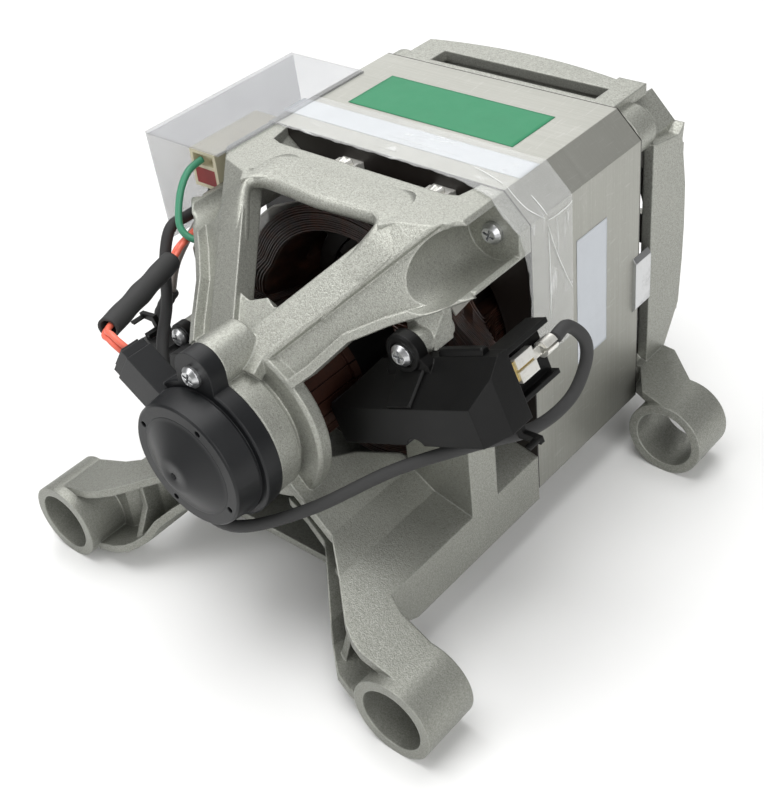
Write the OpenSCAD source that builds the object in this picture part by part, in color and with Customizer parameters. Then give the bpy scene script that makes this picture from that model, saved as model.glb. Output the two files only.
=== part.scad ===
// Washing machine motor: a brushed series motor between two die-cast end shields.
// Millimetres. X is right as seen from the sensor end, Y runs from there to the drive end, Z is up.
// The origin lies midway between the two front foot bores, in the plane of their front faces.

/* [Stack] */
// Width of the lamination stack
stack_width = 120; // [114:1:126]
// Height of the lamination stack
stack_height = 123; // [117:1:129]
// Length of the lamination stack
stack_length = 65.5; // [50:0.5:80]
// Bevel on the upper corners of the stack
stack_bevel = 9.6; // [5:0.1:11]
// Radius of the bore between the poles
pole_bore_r = 30.2; // [29:0.1:31]
// Air gap between the poles and the rotor
air_gap = 0.7; // [0.4:0.1:1]

/* [Feet] */
// Distance between the two foot bores of one shield
foot_spacing = 159.2; // [150:0.1:170]
// Height of the shaft above the foot bores
foot_drop = 62; // [58:0.5:66]
// Radius of the bush bore in a foot
foot_bore_r = 11.5; // [9:0.1:12.5]
// Wall round the bush bore
foot_wall = 3.55; // [2.5:0.05:4]
// Length of a front foot
front_foot_length = 22; // [16:0.5:26]
// Length of a rear foot
rear_foot_length = 20; // [14:0.5:24]
// Reach of the front feet in front of the stack
front_foot_reach = 108; // [100:1:114]
// Reach of the rear feet behind the stack
rear_foot_reach = 8; // [4:0.5:12]

/* [Shields] */
// Radius of the barrel round the front bearing
hub_r = 24.6; // [21:0.1:26]
// Radius of the ring behind the barrel
hub_ring_r = 31; // [28:0.1:33]
// Front face of the hub, in front of the stack
hub_reach = 87; // [84:0.5:90]
// Width of the flat band on each upper arm
arm_width = 11.5; // [9:0.1:13]
// Thickness of a cast skin
skin = 4; // [3:0.1:5]
// Thickness of the crossbar
crossbar_thick = 4; // [3:0.1:6]
// Depth of the rear shield behind the stack
rear_depth = 30; // [26:0.5:36]
// Radius of the barrel round the rear bearing
rear_hub_r = 24; // [21:0.1:27]

/* [Bearings and shaft] */
// Outer diameter of the front bearing
front_bearing_od = 32; // [28:0.5:35]
// Width of the front bearing
front_bearing_width = 10; // [8:0.5:11]
// Outer diameter of the rear bearing
rear_bearing_od = 35; // [32:0.5:40]
// Width of the rear bearing
rear_bearing_width = 11; // [9:0.5:12]
// Diameter of the shaft in the front bearing and in the rotor
shaft_d = 12; // [10:0.1:13]
// Diameter of the shaft in the rear bearing
shaft_rear_d = 15; // [14:0.1:17]
// Radius of the drive pulley over its ribs
pulley_r = 10.5; // [9.5:0.1:14]
// Number of grooves in the drive pulley
pulley_grooves = 6; // [4:1:8]

/* [Commutator and brushes] */
// Radius of the commutator
commutator_r = 20; // [18:0.1:21]
// Number of commutator bars
commutator_bars = 24; // [16:2:32]
// Width of a brush along the shaft
brush_width = 11; // [8:0.1:12]
// Thickness of a brush
brush_thick = 5; // [4:0.1:6]
// Length of a brush
brush_length = 30; // [24:0.5:34]
// Tilt of the right brush above the level
brush_tilt = 22; // [18:0.5:26]
// Wall of the brass brush guide
guide_wall = 0.8; // [0.5:0.1:1]
// Radius of the spring behind a brush
spring_r = 1.9; // [1.4:0.1:2.1]
// Curls of the spring behind a brush
spring_curls = 9; // [6:1:12]

/* [Speed sensor] */
// Radius of the back ring of the cap
cap_r = 25.5; // [24:0.1:27]
// Length of the cap
cap_length = 16.8; // [15.5:0.1:19]
// Wall of the cap
cap_wall = 1.8; // [1.2:0.1:2.4]
// Radius of the magnet on the shaft
magnet_r = 9; // [8:0.1:10]

/* [Fasteners] */
// Radius of a shield bolt
bolt_r = 2.5; // [2:0.1:3]
// Radius of the head on a shield bolt
bolt_head_r = 3.75; // [3.3:0.05:4.5]
// Radius of a small screw
screw_r = 1.9; // [1.4:0.1:2.2]
// Radius of the head on a small screw
screw_head_r = 3.75; // [3.2:0.05:4]

/* [Windings] */
// Depth of a field coil towards the shaft
coil_depth = 10; // [8:0.5:10]
// Width of a field coil's winding on each side of its pole
coil_width = 15; // [12:0.5:16]
// Overhang of a field coil behind the stack
coil_overhang = 17; // [15.5:0.5:18]
// Overhang of a field coil in front of the stack
coil_front_overhang = 22; // [20:0.5:23]

/* [Leads] */
// Diameter of the lead to the right brush
brush_lead_d = 4.2; // [3:0.1:4.6]
// Diameter of the thin leads
thin_lead_d = 2.2; // [1.6:0.1:2.4]
// Outer diameter of the sleeve round the sensor leads
sleeve_d = 7.6; // [6.6:0.1:9]

/* [Hidden] */
$fn = 96;

// Fits between pieces
bolt_clear = 0.25;
thread_clear = 0.05;
guide_clear = 0.08;
brush_gap = 0.3;
race_gap = 0.3;
slip = 0.1;

// The stack and its corners
half_w = stack_width / 2;
half_h = stack_height / 2;
bolt_x = half_w - 9.5;
bolt_z = half_h - 11.5;
low_bevel = 5;
rotor_r = pole_bore_r - air_gap;
back_iron = 10.8;
slot_r = min(half_w, half_h) - back_iron;
slot_half_angle = 36;
horn_tip_angle = 9;

// Heights and reaches along the shaft
hub_front = -hub_reach;
hub_back = hub_front + front_bearing_width;
ring_front = hub_front + 11.8;
ring_back = hub_front + 17;
front_foot_face = -front_foot_reach;
foot_x = foot_spacing / 2;
foot_r = foot_bore_r + foot_wall;
// Metal left over a rear foot's bore, under the web that carries the foot
bore_cover = 0.3;
rear_foot_back = stack_length + rear_foot_reach;
rear_end = stack_length + rear_depth;
rear_wall = rear_end - skin;
rear_seat = rear_wall - 1;
shaft_tip = rear_end + 36;
shaft_hole_r = shaft_d / 2 + 3;
bolt_seat = -6;
ledge_low = slot_r + 1.8;
post_r = 8.6;
post_high = 11;
post_low = 20;
bolt_bite = 9;
cross_size = 4.2;
cross_width = 0.9;
cross_depth = 1.3;

// The upper arms: the ridge starts beside the hub and rises outward at one slope in X and Z
arm_slope_x = (half_w - 16.1 - 9.4) / 50;
arm_slope_z = (half_h - 1.9 - 25.1) / 50;
arm_root = [9.4, -80, 25.1];
arm_along = [arm_slope_x, 1, arm_slope_z];
band_toward = [11.2, 0, -3.1];
web_toward = [15.4, 0, -13];
arm_top = half_h - 0.2;
web_recess = 2.5;
crossbar_arc = 180;
crossbar_reach = 31.3;
lip_width = 3;
lip_points = [[12, 8], [12.4, 16], [11.3, 31], [15, 44], [20, 57], [24, 69.6]];
pocket_r = 10;

// The lower deck and legs, in front view and in plan, right side
deck_line = [[13, -9], [34, -31], [44, -37.4], [half_w - 4, -40.6], [half_w + 4, -42.6],
    [foot_x, foot_r - foot_drop]];
leg_line = [[8, -33], [18, -35.5], [27, -41], [38, -49.4], [43, -54], [46.5, -60], [50, -62.7],
    [half_w - 2, -66.2], [half_w + 8, -69]];
plan_line = [[14, -80], [34, -79], [44, -87.8], [half_w - 4, -99.2], [half_w + 1.6, front_foot_face + 5.4],
    [half_w + 6, front_foot_face + 4], [foot_x, front_foot_face + 4],
    [foot_x, front_foot_face + front_foot_length], [half_w + 6, -84], [half_w, -81], [half_w, 0], [46, 0],
    [46, -22], [30, -38], [23, -52], [20, -62], [14, -67]];
flange_edge = [[8, -72], [26.4, -75.7], [31.2, -80.8], [38, -88.2], [46, -97], [52, -102.5],
    [half_w - 2, front_foot_face + 4.2], [half_w + 10, front_foot_face + 3.5]];
web_edge = [[8, -69.5], [30, -70], [38, -74], [50, -85], [half_w, -91.5], [half_w + 12, -92]];
web_thick = 3.5;
flange_thick = 3;
skirt_low = -half_h;
floor_front = -68.6;
floor_thick = 3;

// Brush holders: X of their frame runs out along the brush, Z across it
holder_front = -61;
holder_back = -43;
holder_in = commutator_r + 4;
holder_out = half_w + 30;
holder_low = -17;
holder_high = 6;
brush_y = -51.5;
brush_z = -7;
lug_x = half_w - 3.5;
lug_z = [-18.8, 9.8];
lug_front = -51.5;
lug_thick = 4;
lug_r = 5.2;
// Height of the right holder's lower lug, which the left one's upper lug mirrors below the shaft
low_lug_z = lug_x * sin(brush_tilt) + lug_z[0] * cos(brush_tilt);
brush_in = sqrt(pow(commutator_r + brush_gap, 2) - pow(brush_z + brush_thick / 2, 2)) - 3;
brush_out = brush_in + brush_length;
spring_end = half_w + 22;
// Radius of the spring's wire, and the gap from the spring to what it pushes on
spring_wire_r = 0.4;
spring_gap = 0.2;
spring_start = brush_out + spring_wire_r + spring_gap;
spring_stop = spring_end - spring_wire_r - spring_gap;
// Points on one curl of the spring
curl_steps = 8;
spring_route = [for (i = [0 : curl_steps * spring_curls])
    [spring_start + (spring_stop - spring_start) * i / (curl_steps * spring_curls),
    brush_y + spring_r * cos(360 * i / curl_steps), brush_z + spring_r * sin(360 * i / curl_steps)]];
guide_out = half_w + 20;
tray_floor = half_w + 23;
tray_back = -23;
blade_x = half_w + 27.6;
blade_z = -3;
commutator_front = -64;
commutator_back = -42;

// Speed sensor
cap_front = hub_front - cap_length;
cap_ring_front = hub_front - 6.5;
drum_r = cap_r - 2;
lug_up = 29;
lug_round = 8;
socket_angle = 145;
socket_out = 38;
socket_half = 6.5;
socket_front = hub_front - 10;
plug_out = 42;
plug_half = socket_half - 1.5;

// Terminal block on the left side of the stack
block_x = [-half_w - 13, -half_w];
block_y = [-20, 14];
block_z = [40, 54.5];
// The guard lies on the stack's top and bends down outside the block, leaning in by a little
guard_thick = 0.8;
guard_front = -29;
guard_back = stack_length - 18.5;
guard_in = half_w - 13;
guard_out = half_w + 24;
guard_low = 20;
guard_lean = 2;

// The two terminals over the coils, placed from the right side of the stack
coil_terminal_x = [half_w - 72, half_w - 33];

// Field coils: a saddle round the poles, measured as angles about the shaft and lengths along it
coil_clear = 2.2;
coil_r = slot_r - coil_clear;
coil_in_r = coil_r - coil_depth;
coil_seat = 0.3;
horn_r = coil_in_r - coil_seat;
coil_half_angle = 85;
coil_corner = 7;
flare_run = 13;
coil_front = -coil_front_overhang;
coil_rear = stack_length + coil_overhang;
front_flare_start = coil_front + flare_run;
rear_flare_start = coil_rear - flare_run;
front_flare = 0.3;
rear_flare = 0.15;
film_r = slot_r + 0.1;
film_low_angle = 30;
film_thick = 0.6;
film_front = -23;
film_half_angle = 56;

// The coil ends lean outward beyond the stack
function flare(y) = front_flare * max(0, front_flare_start - y) + rear_flare * max(0, y - rear_flare_start);

// Lead routes, chosen by eye along the photographed runs; those beside the stack keep to its width
blade_tip = [blade_x * cos(brush_tilt) - blade_z * sin(brush_tilt),
    blade_x * sin(brush_tilt) + blade_z * cos(brush_tilt)];
brush_lead_route = [[blade_tip.x, -20, blade_tip.y], [blade_tip.x + 0.4, -14, blade_tip.y + 0.8],
    [half_w + 25, -8, 23], [half_w + 25, -8, 13], [half_w + 24, -16, 4], [half_w + 21, -32, 2],
    [half_w + 12, -50, 4], [51, -64, -6], [29, -82, -20], [9, -96, -27], [-10, -95, -28], [-26, -88, -22],
    [-37, -78, -4], [-46, -70, 8], [-half_w, -54, 12], [-half_w - 9, -44, 22], [-half_w - 11, -37, 31],
    [-half_w - 10.5, -28, 32], [-half_w - 10, -18, 33], [-half_w - 10, -13, 40]];
brush_left_route = [[-half_w - 24, -33, -2.5], [-half_w - 19.5, -31, 11], [-half_w - 13, -24, 25],
    [-half_w - 14, -12, 28], [-half_w - 12, 1, 40]];
boot_route = [[-half_w - 25, -36, -31], [-half_w - 28.5, -36.5, -24], [-half_w - 29.5, -37.5, -15],
    [-half_w - 27, -35.5, -8], [-half_w - 24, -33, -2.5]];
boot_r = 2.8;
sensor_start = [-34.4, -92, 24.1];
sleeve_low = [-46, -89, 27];
sleeve_high = [-half_w - 2, -47, 25];
sensor_sides = [[0.6, 0.3, 1.15], [1.35, 0, 0.2]];
sensor_route = [sensor_start, [-40, -92.5, 27.5], sleeve_low, (sleeve_low + sleeve_high) / 2, sleeve_high,
    [-half_w - 3, -40, 28], [-half_w - 5.5, -27, 29], [-half_w - 6.5, -12, 33], [-half_w - 6.5, -7, 40]];
earth_route = [[-half_w - 7, -20, 51.5], [-half_w - 7.5, -27, 49.5], [-half_w - 7, -33, 43],
    [-half_w - 4, -38, 34], [-half_w + 2, -37, 30], [-half_w + 4.5, -32, 33], [-half_w + 4.5, -31, 37.5]];
coil_lead_route = [[-half_w - 10, -5, 40], [-half_w - 10, -6, 28], [-half_w - 6, -7, 16],
    [-half_w + 2, -7, 7], [-half_w + 9, -7, 3.5], [-half_w + 14.6, -7, 5.5]];

function unit(v) = v / norm(v);
// Least gap of a wound wire to itself, between points of its route that lie this many steps apart
function least_gap(p, wire_r, apart) = min([for (i = [0 : len(p) - 1 - apart])
    for (j = [i + apart : len(p) - 1]) norm(p[i] - p[j])]) - 2 * wire_r;
echo(spring_least_gap = least_gap(spring_route, spring_wire_r, curl_steps / 2));
function spline(a, b, c, d, t) = 0.5 * (2 * b + (c - a) * t + (2 * a - 5 * b + 4 * c - d) * t * t
    + (3 * b - a - 3 * c + d) * t * t * t);
function smooth(p, steps) = concat(
    [for (i = [0 : len(p) - 2], k = [0 : steps - 1])
        spline(p[max(0, i - 1)], p[i], p[i + 1], p[min(len(p) - 1, i + 2)], k / steps)],
    [p[len(p) - 1]]);
function tangents(p) = [for (i = [0 : len(p) - 1])
    unit(p[min(len(p) - 1, i + 1)] - p[max(0, i - 1)])];
function square_to(v, t) = unit(v - (v * t) * t);
function carried(t, done) = len(done) == len(t) ? done
    : carried(t, concat(done, [square_to(done[len(done) - 1], t[len(done)])]));
function first_side(t) = square_to(abs(t.z) < 0.8 ? [0, 0, 1] : [1, 0, 0], t);

module tube(p, r, sides) {
    t = tangents(p);
    side = carried(t, [first_side(t[0])]);
    n = len(p);
    points = [for (i = [0 : n - 1], k = [0 : sides - 1])
        p[i] + r * (cos(360 * k / sides) * side[i] + sin(360 * k / sides) * cross(t[i], side[i]))];
    walls = [for (i = [0 : n - 2], k = [0 : sides - 1])
        let (a = i * sides + k, b = i * sides + (k + 1) % sides)
        each [[a, b + sides, b], [a, a + sides, b + sides]]];
    ends = [for (k = [1 : sides - 2])
        each [[0, k, k + 1], [(n - 1) * sides, (n - 1) * sides + k + 1, (n - 1) * sides + k]]];
    polyhedron(points = points, faces = concat(walls, ends));
}

// From the shaft's frame to the part's frame
module place() {
    translate([0, front_foot_reach, foot_drop]) children();
}

// A front-view outline drawn as x and z, made solid between two places along the shaft
module along_y(from, to) {
    translate([0, to, 0]) rotate([90, 0, 0]) linear_extrude(to - from) children();
}

// A side-view outline drawn as y and z, made solid between two places across
module along_x(from, to) {
    translate([from, 0, 0]) rotate([90, 0, 90]) linear_extrude(to - from) children();
}

module rod(r, from, to, x = 0, z = 0) {
    translate([x, from, z]) rotate([-90, 0, 0]) cylinder(r = r, h = to - from);
}

// A profile drawn as radius and place along the shaft, turned about the shaft
module turned() {
    rotate([-90, 0, 0]) rotate_extrude() children();
}

module both() {
    children();
    mirror([1, 0, 0]) children();
}

// A frame whose Z runs along one direction and whose X leans toward another
module framed(origin, along, toward) {
    z = unit(along);
    x = square_to(toward, z);
    y = cross(z, x);
    translate(origin) rotate([atan2(y.z, z.z), -asin(x.z), atan2(x.y, x.x)]) children();
}

module sector(r, from, to) {
    reach = r / cos((to - from) / 4) + 1;
    intersection() {
        circle(r = r);
        polygon([[0, 0], for (k = [0 : 2]) let (a = from + (to - from) * k / 2)
            2 * reach * [cos(a), sin(a)]]);
    }
}

module at_bolts() {
    for (x = [-1, 1], z = [-1, 1]) translate([x * bolt_x, 0, z * bolt_z]) children();
}

// The frame of a brush holder: X out along the brush, Y along the shaft
module on_right() {
    rotate([0, -brush_tilt, 0]) children();
}

module on_left() {
    rotate([0, 180 - brush_tilt, 0]) children();
}

module behind_web() {
    framed(arm_root, arm_along, web_toward) translate([-60, web_recess, -60]) cube([160, 120, 260]);
}

// Front shield

module hub() {
    turned() polygon([[0, hub_front], [hub_r - 1, hub_front], [hub_r, hub_front + 1],
        [hub_r, hub_back - 0.5], [hub_r - 2.2, hub_back + 0.3], [hub_r - 2.2, ring_front],
        [hub_ring_r - 1, ring_front], [hub_ring_r, ring_front + 1], [hub_ring_r, ring_back],
        [0, ring_back]]);
    rod(lug_round, hub_front, ring_back - 2, 0, lug_up);
    framed([0, -80, arm_root.z + 0.6], [0, 1, arm_slope_z], [1, 0, 0])
        along_y(0, skin + 1) polygon([[-12, 0], [12, 0], [12, 23], [6, 22], [2, 24], [-4, 21], [-12, 23]]);
}

// A band over two deep edges; it ends under the crossbar
module arm_band() {
    intersection() {
        framed(arm_root, arm_along, band_toward) linear_extrude(82)
            polygon([[-arm_width, 0], [-0.8, 0], [0, 0.8], [0, 7], [-3, 7], [-3, skin - 0.5],
                [3 - arm_width, skin - 0.5], [3 - arm_width, 8], [-arm_width, 8]]);
        translate([-20, -90, 0]) cube([half_w + 20, 88, arm_top]);
    }
}

module arm_web() {
    framed(arm_root, arm_along, web_toward) {
        along_y(web_recess, web_recess + skin - 0.5)
            polygon(concat([[-1.5, 72], [-1.5, 4]], lip_points));
        along_y(-1.2, 8) polygon(concat(lip_points,
            [for (i = [len(lip_points) - 1 : -1 : 0]) lip_points[i] - [lip_width, 0]]));
    }
}

// The block over each upper bolt, scooped out in front of the bolt head
module upper_corner() {
    intersection() {
        union() {
            along_y(-50, 0) polygon([[half_w - 27, half_h - 11], [half_w - 14.2, arm_top],
                [half_w - 9.6, arm_top], [half_w, half_h - stack_bevel], [half_w, half_h - 19],
                [half_w - 8, half_h - 22.5], [half_w - 15, half_h - 25.5]]);
            along_y(holder_back + 0.5, -33) polygon([[half_w - 16.5, 27], [half_w - 6.5, 27],
                [half_w - 6.5, half_h - 19.5], [half_w - 16.5, half_h - 19.5]]);
        }
        behind_web();
    }
}

module upper_pocket() {
    rod(pocket_r, -90, bolt_seat, bolt_x, bolt_z);
    translate([bolt_x, -90, half_h - 18]) cube([20, 90 + bolt_seat, 13]);
}

module crossbar() {
    translate([0, 0, arm_top - crossbar_thick]) linear_extrude(crossbar_thick) {
        intersection() {
            translate([0, crossbar_arc - crossbar_reach]) circle(r = crossbar_arc);
            polygon([[17 - half_w, -34], [half_w - 17, -34], [half_w - 10, -20], [half_w - 10, -10.5],
                [10 - half_w, -10.5], [10 - half_w, -20]]);
        }
        for (side = [-1, 1]) {
            polygon([for (p = [[half_w - 26, -11], [half_w - 17, -25], [half_w - 10, -20], [half_w - 10, 0],
                [half_w - 18, 0], [half_w - 20, -9]]) [side * p.x, p.y]]);
            polygon([for (p = [[half_w - 40, -29], [half_w - 37, -31], [half_w - 33, -33.2],
                [half_w - 30.5, -36], [half_w - 26, -30]]) [side * p.x, p.y]]);
        }
    }
}

// A front-view line made into a band below itself
module band_outline(line, thick) {
    polygon(concat(line, [for (i = [len(line) - 1 : -1 : 0]) line[i] - [thick * 0.35, thick]]));
}

// A plan-view outline made solid through the height of the legs
module leg_height() {
    translate([0, 0, -100]) linear_extrude(200) children();
}

// The front view of a leg between its deck and its lower flange
module leg_side() {
    polygon(concat(deck_line, [for (i = [len(leg_line) - 1 : -1 : 0]) leg_line[i] - [0, 1]]));
}

module web_outline() {
    polygon(concat(web_edge, [for (i = [len(web_edge) - 1 : -1 : 0]) web_edge[i] + [0, web_thick]]));
}

module flange_outline() {
    polygon(concat(flange_edge, [for (i = [len(web_edge) - 1 : -1 : 0]) web_edge[i] + [0, web_thick]]));
}

// A leg is a channel: a deck, a web set back under it, a lower flange and two ribs across
module leg() {
    intersection() {
        along_y(front_foot_face, 0) band_outline(deck_line, skin - 1);
        leg_height() polygon(plan_line);
    }
    intersection() {
        along_y(front_foot_face, -60) band_outline(leg_line, flange_thick);
        leg_height() flange_outline();
    }
    intersection() {
        along_y(front_foot_face, -60) leg_side();
        union() {
            leg_height() web_outline();
            along_x(half_w - 11, half_w - 8.5)
                polygon([[-82, -34], [-82, -70], [-101, -70], [-91, -52], [-91, -34]]);
            along_x(34, 36.5) polygon([[-70, -25], [-70, -52], [-83, -52], [-76, -40], [-76, -25]]);
        }
    }
    difference() {
        along_x(half_w - skin, half_w) polygon([[-82, -42], [-82, skirt_low + 6], [-70, skirt_low],
            [0, skirt_low], [0, -42]]);
        along_x(half_w - skin - 1, half_w - 1.2) polygon([[-74, -49], [-74, skirt_low - 1],
            [-22, skirt_low - 1], [-22, -49]]);
    }
    rod(foot_r, front_foot_face, front_foot_face + front_foot_length, foot_x, -foot_drop);
    along_y(front_foot_face + front_foot_length - skin, front_foot_face + front_foot_length)
        polygon([[half_w - 2, -43], [half_w + 4, -43], [foot_x, foot_r - foot_drop],
            [foot_x, -foot_drop - foot_r + 6], [half_w + 4, -67], [half_w - 2, -64]]);
}

// The plate that closes the shield below, between the two skirts
module shield_floor() {
    translate([0.5 - half_w, floor_front, -half_h]) cube([stack_width - 1, -floor_front, floor_thick]);
}

module lower_corner() {
    along_y(-12, 0) difference() {
        union() {
            translate([bolt_x, -bolt_z]) circle(r = 9.5);
            polygon([[bolt_x - 9.5, -bolt_z], [bolt_x - 6, -38], [half_w, -44], [half_w, -half_h + low_bevel],
                [half_w - low_bevel, -half_h], [bolt_x - 9.5, -half_h]]);
        }
        translate([bolt_x, -bolt_z]) circle(r = bolt_r + bolt_clear);
    }
}

// The hollow post that carries a holder's lower screw
module pedestal(top) {
    difference() {
        along_y(-38, -24) polygon([[half_w - 27, -31], [half_w - 16, -40], [half_w, -45],
            [half_w, top], [half_w - 27, top]]);
        along_y(-38 + skin, -20) polygon([[half_w - 23, -29], [half_w - 15, -36],
            [half_w - skin, -41], [half_w - skin, top - skin], [half_w - 23, top - skin]]);
    }
}

module at_lugs() {
    on_right() for (z = lug_z) translate([lug_x, 0, z]) children();
    on_left() for (z = lug_z) translate([lug_x, 0, z]) children();
}

module front_shield() color([0.72, 0.71, 0.67]) place() difference() {
    union() {
        hub();
        both() {
            arm_band();
            arm_web();
            leg();
            lower_corner();
        }
        both() upper_corner();
        crossbar();
        shield_floor();
        pedestal(low_lug_z);
        mirror([1, 0, 0]) pedestal(lug_r - low_lug_z);
        at_lugs() rod(lug_r - 0.4, lug_front + lug_thick, -32);
    }
    both() upper_pocket();
    at_bolts() rod(bolt_r + bolt_clear, -40, 1);
    at_bolts() rod(bolt_head_r + 1, -60, bolt_seat);
    rod(front_bearing_od / 2, hub_front - 1, hub_back);
    rod(shaft_hole_r, hub_front - 1, ring_back + 6);
    rod(screw_r + thread_clear, hub_front - 1, hub_front + 14, 0, lug_up);
    at_lugs() rod(screw_r + thread_clear, lug_front, lug_front + lug_thick + 12);
    both() rod(foot_bore_r, front_foot_face - 1, front_foot_face + front_foot_length + 1, foot_x, -foot_drop);
}

// Rear shield

module rear_side() {
    along_x(half_w - skin, half_w) polygon([[stack_length + 7.5, -46], [stack_length + 20, -46],
        [rear_end, -30], [rear_end + 1.5, -12], [rear_end + 2, 3], [rear_end + 1.5, 20],
        [rear_end - 2, 40], [rear_end - 1, 46], [rear_end - 5, 43], [stack_length + 8.5, 46]]);
}

module rear_foot() {
    rod(foot_r, rear_foot_back - rear_foot_length, rear_foot_back, foot_x, -foot_drop);
    intersection() {
        along_y(rear_foot_back - rear_foot_length, rear_end) band_outline([[half_w - 10, -44], [half_w, -45],
            [foot_x, foot_r - foot_drop]], foot_wall - bore_cover);
        translate([0, 0, -100]) linear_extrude(200) polygon([[half_w - 10, stack_length + 3],
            [half_w, stack_length + 3], [half_w + 8, rear_foot_back - rear_foot_length + 3],
            [foot_x, rear_foot_back - rear_foot_length], [foot_x, rear_foot_back - 1],
            [half_w + 5, stack_length + 20], [half_w - 10, stack_length + 20]]);
    }
    along_y(rear_foot_back - 4, rear_foot_back) polygon([[half_w - 4, -46], [foot_x, foot_r - foot_drop],
        [foot_x, -foot_drop - foot_r + 6], [half_w + 6, -64], [half_w - 4, -58]]);
}

module rear_cover() {
    difference() {
        along_y(rear_wall, rear_end) polygon([[-half_w + 16, -half_h + 8], [half_w - 16, -half_h + 8],
            [half_w - 0.5, -half_h + 28], [half_w - 0.5, half_h - 24], [half_w - 20, half_h - 12],
            [-half_w + 20, half_h - 12], [-half_w + 0.5, half_h - 24], [-half_w + 0.5, -half_h + 28]]);
        for (k = [0 : 7]) along_y(rear_wall - 1, rear_end + 1) difference() {
            sector(47, 45 * k + 8, 45 * k + 37);
            circle(r = rear_hub_r + 4);
        }
    }
    for (x = [-1, 1]) {
        rod(post_r, stack_length, stack_length + post_high, x * bolt_x, bolt_z);
        rod(post_r, stack_length, stack_length + post_low, x * bolt_x, -bolt_z);
        along_y(stack_length + 9, rear_end - 1) polygon([[x * (half_w - skin), 36], [x * (half_w - skin), 46],
            [x * (bolt_x - 4), bolt_z + 6], [x * (bolt_x - 12), bolt_z], [x * (bolt_x - 4), 38]]);
        along_y(stack_length + 12, rear_end - 1) polygon([[x * (half_w - skin), -30],
            [x * (half_w - skin), -46], [x * (bolt_x - 4), -bolt_z - 6], [x * (bolt_x - 12), -bolt_z],
            [x * (bolt_x - 4), -34]]);
    }
    turned() polygon([[0, rear_seat - 2], [rear_hub_r, rear_seat - 2], [rear_hub_r, rear_end],
        [rear_hub_r - 3, rear_seat + rear_bearing_width + 3], [0, rear_seat + rear_bearing_width + 3]]);
    along_x(-bolt_x, bolt_x) polygon([[stack_length + 11, -half_h + 6], [stack_length + 11, -half_h + 2],
        [rear_end - 6, -half_h + 2], [rear_end - 1, -half_h + 9], [rear_wall, -half_h + 12],
        [rear_wall - 3, -half_h + 6]]);
}

// The plate over the drive end, with the slot that the motor is carried by
module carry_plate() {
    translate([0, 0, half_h - skin]) linear_extrude(skin) difference() {
        union() {
            intersection() {
                translate([0, stack_length + 23 - 190]) circle(r = 190);
                translate([-half_w + 16, stack_length]) square([stack_width - 27, 40]);
            }
            translate([half_w - 22, stack_length]) square([11, 21]);
        }
        translate([-32, stack_length + 2.5]) square([72, 9]);
    }
    translate([-half_w + 16, stack_length + 12, ledge_low])
        cube([stack_width - 32, skin, half_h - 2 - ledge_low]);
    translate([-half_w + 16, stack_length + 12, ledge_low]) cube([stack_width - 32, rear_depth - 13, skin]);
}

module rear_shield() color([0.70, 0.69, 0.65]) place() difference() {
    union() {
        both() {
            rear_side();
            rear_foot();
        }
        rear_cover();
        carry_plate();
    }
    at_bolts() rod(bolt_r + thread_clear, stack_length - 1, stack_length + post_low);
    rod(rear_bearing_od / 2, rear_seat - 3, rear_seat + rear_bearing_width);
    rod(shaft_rear_d / 2 + 2.5, rear_seat, rear_end + 20);
    both() rod(foot_bore_r, rear_foot_back - rear_foot_length - 1, rear_end + 1, foot_x, -foot_drop);
}

// Stack and field coils

module stack_outline() {
    polygon([[-half_w, half_h - stack_bevel], [-half_w + stack_bevel, half_h], [half_w - stack_bevel, half_h],
        [half_w, half_h - stack_bevel], [half_w, -half_h + low_bevel], [half_w - low_bevel, -half_h],
        [-half_w + low_bevel, -half_h], [-half_w, -half_h + low_bevel]]);
}

module stator_core() color([0.55, 0.55, 0.53]) place() along_y(0, stack_length) difference() {
    stack_outline();
    circle(r = pole_bore_r);
    for (turn = [0, 180]) rotate(turn) difference() {
        sector(slot_r, -slot_half_angle, slot_half_angle);
        sector(horn_r, horn_tip_angle, 60);
        sector(horn_r, -60, -horn_tip_angle);
        circle(r = pole_bore_r - 1);
    }
    for (x = [-1, 1], z = [-1, 1]) translate([x * bolt_x, z * bolt_z]) circle(r = bolt_r + bolt_clear);
}

// A field coil as one wound bundle, which lies over its pole and leans outward beyond the stack
module field_coil() {
    inner = coil_half_angle - coil_width / coil_r * 57.3;
    difference() {
        intersection() {
            turned() polygon([[coil_in_r, coil_front], [coil_r + flare(coil_front), coil_front],
                [coil_r, front_flare_start], [coil_r, rear_flare_start],
                [coil_r + flare(coil_rear), coil_rear], [coil_in_r, coil_rear]]);
            along_y(coil_front - 1, coil_rear + 1) sector(80, 90 - coil_half_angle, 90 + coil_half_angle);
        }
        along_y(-1.5, stack_length + 1.5) sector(80, 90 - inner, 90 + inner);
        for (side = [-1, 1], y = [coil_front, coil_rear])
            rotate([0, side * coil_half_angle - 90, 0]) translate([45, y, 0]) rotate([45, 0, 0])
                cube([60, coil_corner * sqrt(2), coil_corner * sqrt(2)], center = true);
    }
}

module field_coil_top() color([0.20, 0.10, 0.06]) place() field_coil();

module field_coil_bottom() color([0.20, 0.10, 0.06]) place() rotate([0, 180, 0]) field_coil();

// Film that stands in the slots and shields the coil ends
module coil_insulation() color([0.78, 0.77, 0.72]) place() for (turn = [0, 180]) rotate([0, turn, 0])
    intersection() {
        turned() polygon([[film_r, 0], [film_r + film_thick, 0], [film_r + film_thick, front_flare_start],
            [film_r + film_thick + flare(film_front), film_front], [film_r + flare(film_front), film_front],
            [film_r, front_flare_start]]);
        along_y(film_front - 1, 1) {
            sector(80, film_low_angle, film_half_angle);
            sector(80, -film_half_angle, -film_low_angle);
        }
    }

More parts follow.
